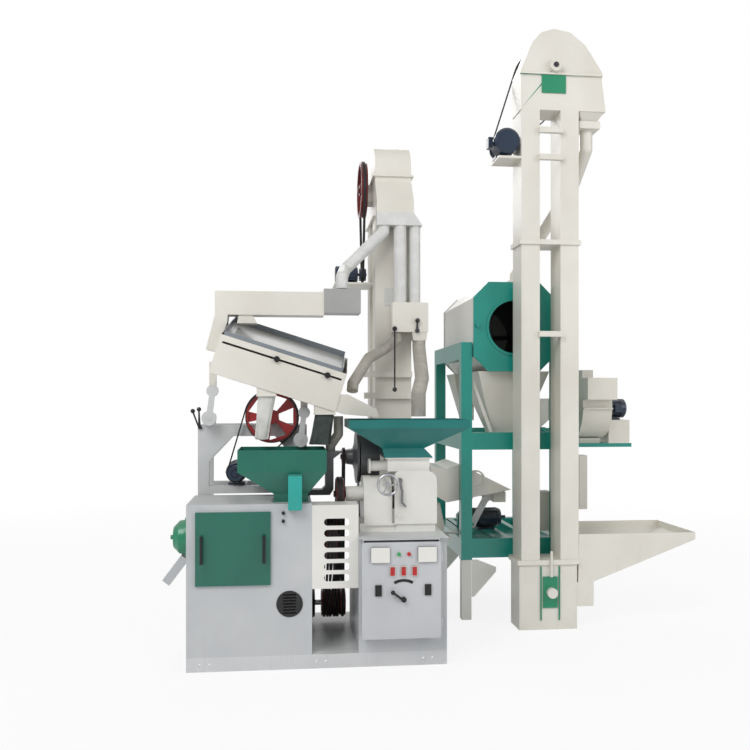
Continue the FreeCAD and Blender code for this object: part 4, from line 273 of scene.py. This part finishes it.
def dress(node, finish, *patches):
    # Give a CAD node one finish, and others to the faces whose centres lie in a box.
    # A patch is (finish, x range, y range, z range) in plant mm, where None is no limit;
    # a fifth entry (axis, middle, least) keeps only faces at least that far from an axis through middle.
    piece = bpy.data.objects[node]
    mesh = piece.data
    mesh.materials.clear()
    mesh.materials.append(finish)
    count = len(mesh.polygons)
    centres = np.empty(count * 3)
    mesh.polygons.foreach_get("center", centres)
    centres = centres.reshape(-1, 3) * 1000.0 + plantOrigin
    picked = np.zeros(count, dtype=np.int32)
    for patch in patches:
        inside = np.ones(count, dtype=bool)
        for axis in range(3):
            if patch[1 + axis] is not None:
                low, high = patch[1 + axis]
                inside &= (centres[:, axis] >= low) & (centres[:, axis] <= high)
        if len(patch) > 4:
            axis, middle, least = patch[4]
            across = np.delete(centres, axis, axis=1) - np.array(middle, float)
            inside &= np.linalg.norm(across, axis=1) >= least
        names = [slot.name for slot in mesh.materials]
        if patch[0].name not in names:
            mesh.materials.append(patch[0])
            names.append(patch[0].name)
        picked[inside] = names.index(patch[0].name)
    mesh.polygons.foreach_set("material_index", picked)
    mesh.update()


dress("base_frame", channelGrey, (cabinetGrey, (8, 1380), (55, 830), (69, 76)))
dress("mill_cabinet", cabinetGrey, (blackPaint, (468, 612), (-4, -0.5), (270, 425)),
      (blackPlastic, (495, 520), (-15, -0.5), (770, 845)), (darkSteel, (600, 659), (170, 290), (600, 740)))
dress("mill_door", doorGreen, (blackPlastic, (70, 95), (-60, -14.4), None),
      (blackPlastic, (394, 418), (-60, -14.4), None))
dress("mill_screen", bareSteel)
dress("mill_rotor", darkSteel, (darkRed, (735, 805), None, None))
dress("mill_hopper", hopperGreen, (brightTeal, (530, 606), (-58, 40), (848, 1032)))
dress("mill_outlet_head", bracketGreen, (cabinetGrey, (-290, 60), (170, 290), (330, 560)))
dress("belt_guard", fullWhite)
dress("main_motor", motorDark, (bareSteel, (696, 900), (600, 680), (170, 230)))
dress("drive_pulley", darkRed)
dress("drive_belts", beltRubber)
dress("electric_motors", motorBlue)
dress("huller_stand", cabinetGrey)
dress("huller_housing", fullWhite)
dress("huller_cover", fullWhite)
dress("handwheel", brightZinc)
dress("feed_lever", bareSteel)
dress("fast_roll", rollRubber, (darkRed, (795, 850), None, None))
dress("slow_roll", rollRubber)
dress("huller_hopper", hopperTeal)
dress("husk_fan_housing", funnelGrey)
dress("husk_fan_rotor", darkSteel, (darkRed, (848, 876), None, None))
dress("control_cabinet", boxGrey)
dress("control_door", boxGrey)
dress("panel_instruments", blackPlastic, (fullWhite, (970, 1061), (-87, -86), (594, 650)),
      (fullWhite, (1221, 1312), (-87, -86), (594, 650)),
      (lampGreen, (1104, 1126), None, (603, 625)), (pulleyRed, (1158, 1180), None, (603, 625)),
      (cream, (1064, 1216), (-78, -76), (496, 552)))
dress("changeover_lever", blackPlastic)
for switchNode in ("switch_left", "switch_middle", "switch_right"):
    dress(switchNode, pulleyRed)
dress("separator_stand", paleGrey)
dress("separator_body", cream)
dress("separator_tray", trayGrey)
dress("separator_duct", cream, (ductGrey, (743.5, 960), None, None))
dress("grain_socks", pipePlastic)
for rockerNode in ("separator_rocker_left", "separator_rocker_right", "destoner_rocker"):
    dress(rockerNode, paleGrey)
dress("separator_pulley", pulleyRed, (blackPaint, None, None, None, (1, (438, 1332), 140)))
dress("divider_knob_upper", blackPlastic)
dress("divider_knob_lower", blackPlastic)
dress("tilt_lever", darkSteel)
dress("middle_elevator", cream)
dress("middle_head_pulley", darkRed)
dress("delivery_pipes", pipePlastic, (cream, (1185, 1425), (770, 900), (1800, 2050)))
dress("grain_hoses", hosePlastic, (funnelGrey, (595, 850), (370, 480), (870, 1140)))
dress("valve_lever_a", darkSteel)
dress("valve_lever_b", darkSteel)
dress("cleaner_frame", cleanerTeal, (fullWhite, None, None, (-1, 388)))
dress("drum_housing", fullWhite)
dress("drum_door", cleanerTeal)
dress("drum_screen", blackPaint)
dress("cleaner_hopper", cream)
dress("destoner_body", cream)
dress("fan_housing", cream)
dress("intake_elevator", cream, (bracketGreen, (2090, 2225), (585, 599.5), (55, 400)))
dress("intake_head", cream, (bracketGreen, (2100, 2260), (590, 600), (3340, 3456)))
dress("intake_head_shaft", darkSteel)
dress("intake_spout", cream)
dress("intake_hopper", cream)
print("stage: nodes dressed")

# cloth socks under the separator

socks = {"Left": {"finish": "sockWhite", "chute": (356, 467, 1449, 1565.4, 1530.4),
                  "top": (411.5, 348, 53, 36, 1455), "foot": (381, 348, 38, 20, 1204),
                  "fold": 3.4, "pleats": 5, "flat": (0.27, 0.251)},
         "Right": {"finish": "sockGreen", "chute": (682, 802, 1345, 1462.6, 1424.8),
                   "top": (742, 348, 57, 36, 1351), "foot": (713, 348, 61, 24, 1172),
                   "fold": 3.0, "pleats": 7, "flat": (0.31, 0.179)}}
chuteFront, chuteBack = 306, 390


def weave(name, colour, thread):
    # Woven cotton: two crossed waves of thread over a slow stain, no shine.
    material, tree, shader = newMaterial(name)
    place = addNode(tree, "TexCoord").outputs["Object"]
    stain = addNode(tree, "TexNoise", {"Scale": 16.0, "Detail": 5.0})
    join(tree, place, stain.inputs["Vector"])
    threads = []
    for direction in ("X", "Z"):
        wave = addNode(tree, "TexWave", {"Scale": 260.0, "Distortion": 0.6}, bands_direction=direction)
        join(tree, place, wave.inputs["Vector"])
        threads.append(wave.outputs["Fac"])
    cloth = maths(tree, "MULTIPLY", threads[0], threads[1])
    faded = mixColour(tree, ramp(tree, stain.outputs[0], 0.4, 0.7), tone(*colour), tone(*thread))
    join(tree, faded, shader.inputs["Base Color"])
    shader.inputs["Roughness"].default_value = 0.85
    bump = addNode(tree, "Bump", {"Strength": 0.3, "Distance": 0.0004})
    join(tree, cloth, bump.inputs["Height"])
    join(tree, bump.outputs[0], shader.inputs["Normal"])
    return material


sockFinish = {"sockWhite": weave("whiteCotton", (222, 222, 218), (204, 204, 200)),
              "sockGreen": weave("greyGreenCanvas", (74, 84, 80), (58, 66, 64))}


def placePiece(name, points, faces, finish, body):
    # A new piece from plant millimetres, riding on a body.
    mesh = bpy.data.meshes.new(name)
    mesh.from_pydata(at(points), [], faces)
    mesh.materials.append(finish)
    piece = bpy.data.objects.new(name, mesh)
    bpy.context.collection.objects.link(piece)
    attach(piece, body)
    return piece


def squared(wave):
    # a sine or cosine pushed out towards a square's sides: its sign times its size to the power 0.6
    return np.sign(wave) * np.abs(wave) ** 0.6


def hangSock(side, values):
    # A cloth tube: a squared loop that narrows from top to foot, its pleats deepening as
    # the square of the way down, and its hem dipping with the sine of the turn.
    rows, turns = 72, 144
    down = np.linspace(0.0, 1.0, rows)[:, None]
    turn = np.linspace(0.0, 2 * np.pi, turns, endpoint=False)[None, :]
    topX, topY, topHalf, topDeep, topZ = values["top"]
    footX, footY, footHalf, footDeep, footZ = values["foot"]
    wide = np.sin(values["pleats"] * turn + 1.1 + 1.6 * down)
    narrow = 0.45 * np.sin((values["pleats"] + 4) * turn - 2.3 * down)
    pleat = values["fold"] * (0.25 + down ** 2) * (wide + narrow)
    halfWidth = topHalf + (footHalf - topHalf) * down - 3 + pleat
    halfDepth = topDeep + (footDeep - topDeep) * down - 3 + pleat
    x = topX + (footX - topX) * down + halfWidth * squared(np.cos(turn))
    y = topY + (footY - topY) * down + halfDepth * squared(np.sin(turn))
    z = topZ + (footZ + 4 - topZ) * down + 3.5 * down ** 4 * np.sin(2 * turn + 0.7)
    points = np.stack([x, y, z], axis=-1).reshape(-1, 3)
    index = np.arange(rows * turns).reshape(rows, turns)
    after = np.roll(index, -1, axis=1)
    faces = np.stack([index[:-1], index[1:], after[1:], after[:-1]], axis=-1).reshape(-1, 4)
    finish = sockFinish[values["finish"]]
    sock = placePiece("sockCloth" + side, points, faces.tolist(), finish, "separator")
    wall = sock.modifiers.new("wall", "SOLIDIFY")
    wall.thickness = 0.0009
    wall.offset = 0.0
    print("stage: sock", side, "hung", (topZ - footZ) / 1000, "m long")
    return sock


def hangChute(side, values):
    # The sheet-metal chute above a sock: four slanted walls with a turned rim.
    # Rings of corners are joined in order.
    left, right, low, leftTop, rightTop = values["chute"]

    def ring(grow, leftLevel, rightLevel=None):
        # four corners round the chute, counted from the front left, drawn out by a margin
        rightLevel = leftLevel if rightLevel is None else rightLevel
        return [(left - grow, chuteFront - grow, leftLevel), (right + grow, chuteFront - grow, rightLevel),
                (right + grow, chuteBack + grow, rightLevel), (left - grow, chuteBack + grow, leftLevel)]

    rimTop, rimFoot, recess = low + 9, low + 1, low + 12
    rings = [ring(0, leftTop, rightTop), ring(0, rimTop), ring(2.5, rimTop), ring(2.5, rimFoot),
             ring(-2, rimFoot), ring(-2, recess)]
    points = [corner for level in rings for corner in level]
    faces = [(4 * k + i, 4 * k + 4 + i, 4 * k + 4 + (i + 1) % 4, 4 * k + (i + 1) % 4)
             for k in range(len(rings) - 1) for i in range(4)]
    last = 4 * (len(rings) - 1)
    faces += [(0, 1, 2, 3), (last + 3, last + 2, last + 1, last)]  # the lid, and the recess's ceiling
    chute = placePiece("sockChute" + side, points, faces, cream, "separator")
    edge = chute.modifiers.new("edge", "BEVEL")
    edge.width = 0.0012
    edge.segments = 2
    return chute


for side, values in socks.items():
    chute = hangChute(side, values)
    sock = hangSock(side, values)
    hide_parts("grain_socks")
print("stage: socks hung")

# floor, backdrop and light

studio = {"floorSize": 60.0, "world": 0.5, "shadowReach": 2.6, "whiteReach": 8.0,
          "nearWhite": 0.84, "floorColour": (0.86, 0.86, 0.86, 1)}


def stageSheet(name, corners, colour):
    mesh = bpy.data.meshes.new(name)
    mesh.from_pydata(corners, [], [(0, 1, 2, 3)])
    sheet = bpy.data.objects.new(name, mesh)
    bpy.context.collection.objects.link(sheet)
    material, tree, shader = newMaterial(name)
    shader.inputs["Base Color"].default_value = colour
    shader.inputs["Roughness"].default_value = 0.9
    white = addNode(tree, "Emission", {"Strength": 1.0})
    rays = addNode(tree, "LightPath")
    mixer = addNode(tree, "MixShader")
    # near the plant some of the floor's own shading keeps the shadow; far off it is plain white
    away = addNode(tree, "VectorMath", operation="LENGTH")
    join(tree, addNode(tree, "TexCoord").outputs["Object"], away.inputs[0])
    fade = addNode(tree, "MapRange", {"From Min": studio["shadowReach"], "From Max": studio["whiteReach"],
                                      "To Min": studio["nearWhite"], "To Max": 1.0}, clamp=True)
    join(tree, away.outputs["Value"], fade.inputs["Value"])
    seen = addNode(tree, "Math", operation="MULTIPLY")
    join(tree, rays.outputs["Is Camera Ray"], seen.inputs[0])
    join(tree, fade.outputs[0], seen.inputs[1])
    join(tree, seen.outputs[0], mixer.inputs[0])
    join(tree, shader.outputs[0], mixer.inputs[1])
    join(tree, white.outputs[0], mixer.inputs[2])
    join(tree, mixer.outputs[0], tree.nodes["Material Output"].inputs[0])
    mesh.materials.append(material)
    return sheet


reach = studio["floorSize"] / 2
stageSheet("studioFloor", [(-reach, -reach, 0), (reach, -reach, 0), (reach, reach, 0), (-reach, reach, 0)],
           studio["floorColour"])

world = bpy.data.worlds.new("studioWorld")
bpy.context.scene.world = world
world.use_nodes = True
worldTree = world.node_tree
dome = worldTree.nodes["Background"]
dome.inputs["Color"].default_value = (1, 1, 1, 1)
dome.inputs["Strength"].default_value = studio["world"]
backdrop = addNode(worldTree, "Background", {"Color": (1, 1, 1, 1), "Strength": 1.0})
worldRays = addNode(worldTree, "LightPath")
worldMix = addNode(worldTree, "MixShader")
join(worldTree, worldRays.outputs["Is Camera Ray"], worldMix.inputs[0])
join(worldTree, dome.outputs[0], worldMix.inputs[1])
join(worldTree, backdrop.outputs[0], worldMix.inputs[2])
join(worldTree, worldMix.outputs[0], worldTree.nodes["World Output"].inputs[0])


def softLamp(name, place, aimPoint, size, power):
    data = bpy.data.lights.new(name, "AREA")
    data.shape = "SQUARE"
    data.size = size
    data.energy = power
    lamp = bpy.data.objects.new(name, data)
    lamp.location = place
    direction = np.array(aimPoint, float) - np.array(place, float)
    lamp.rotation_euler = (math.acos(-direction[2] / np.linalg.norm(direction)), 0.0,
                           math.atan2(direction[1], direction[0]) - math.pi / 2)
    bpy.context.collection.objects.link(lamp)


# name: (place, point that it faces, size, power)
lamps = {"keyLamp": ((-3.5, -5.0, 6.5), (0.4, 0.5, 1.4), 4.0, 300.0),
         "fillLamp": ((5.5, -4.0, 3.6), (0.6, 0.5, 1.4), 4.0, 110.0),
         "backLamp": ((1.0, 6.0, 5.5), (0.4, 0.8, 1.8), 4.0, 140.0)}
for name, (place, aimPoint, size, power) in lamps.items():
    softLamp(name, place, aimPoint, size, power)
bpy.context.scene.view_settings.view_transform = "Standard"
print("stage: studio lit")


print("stage: pieces finished")
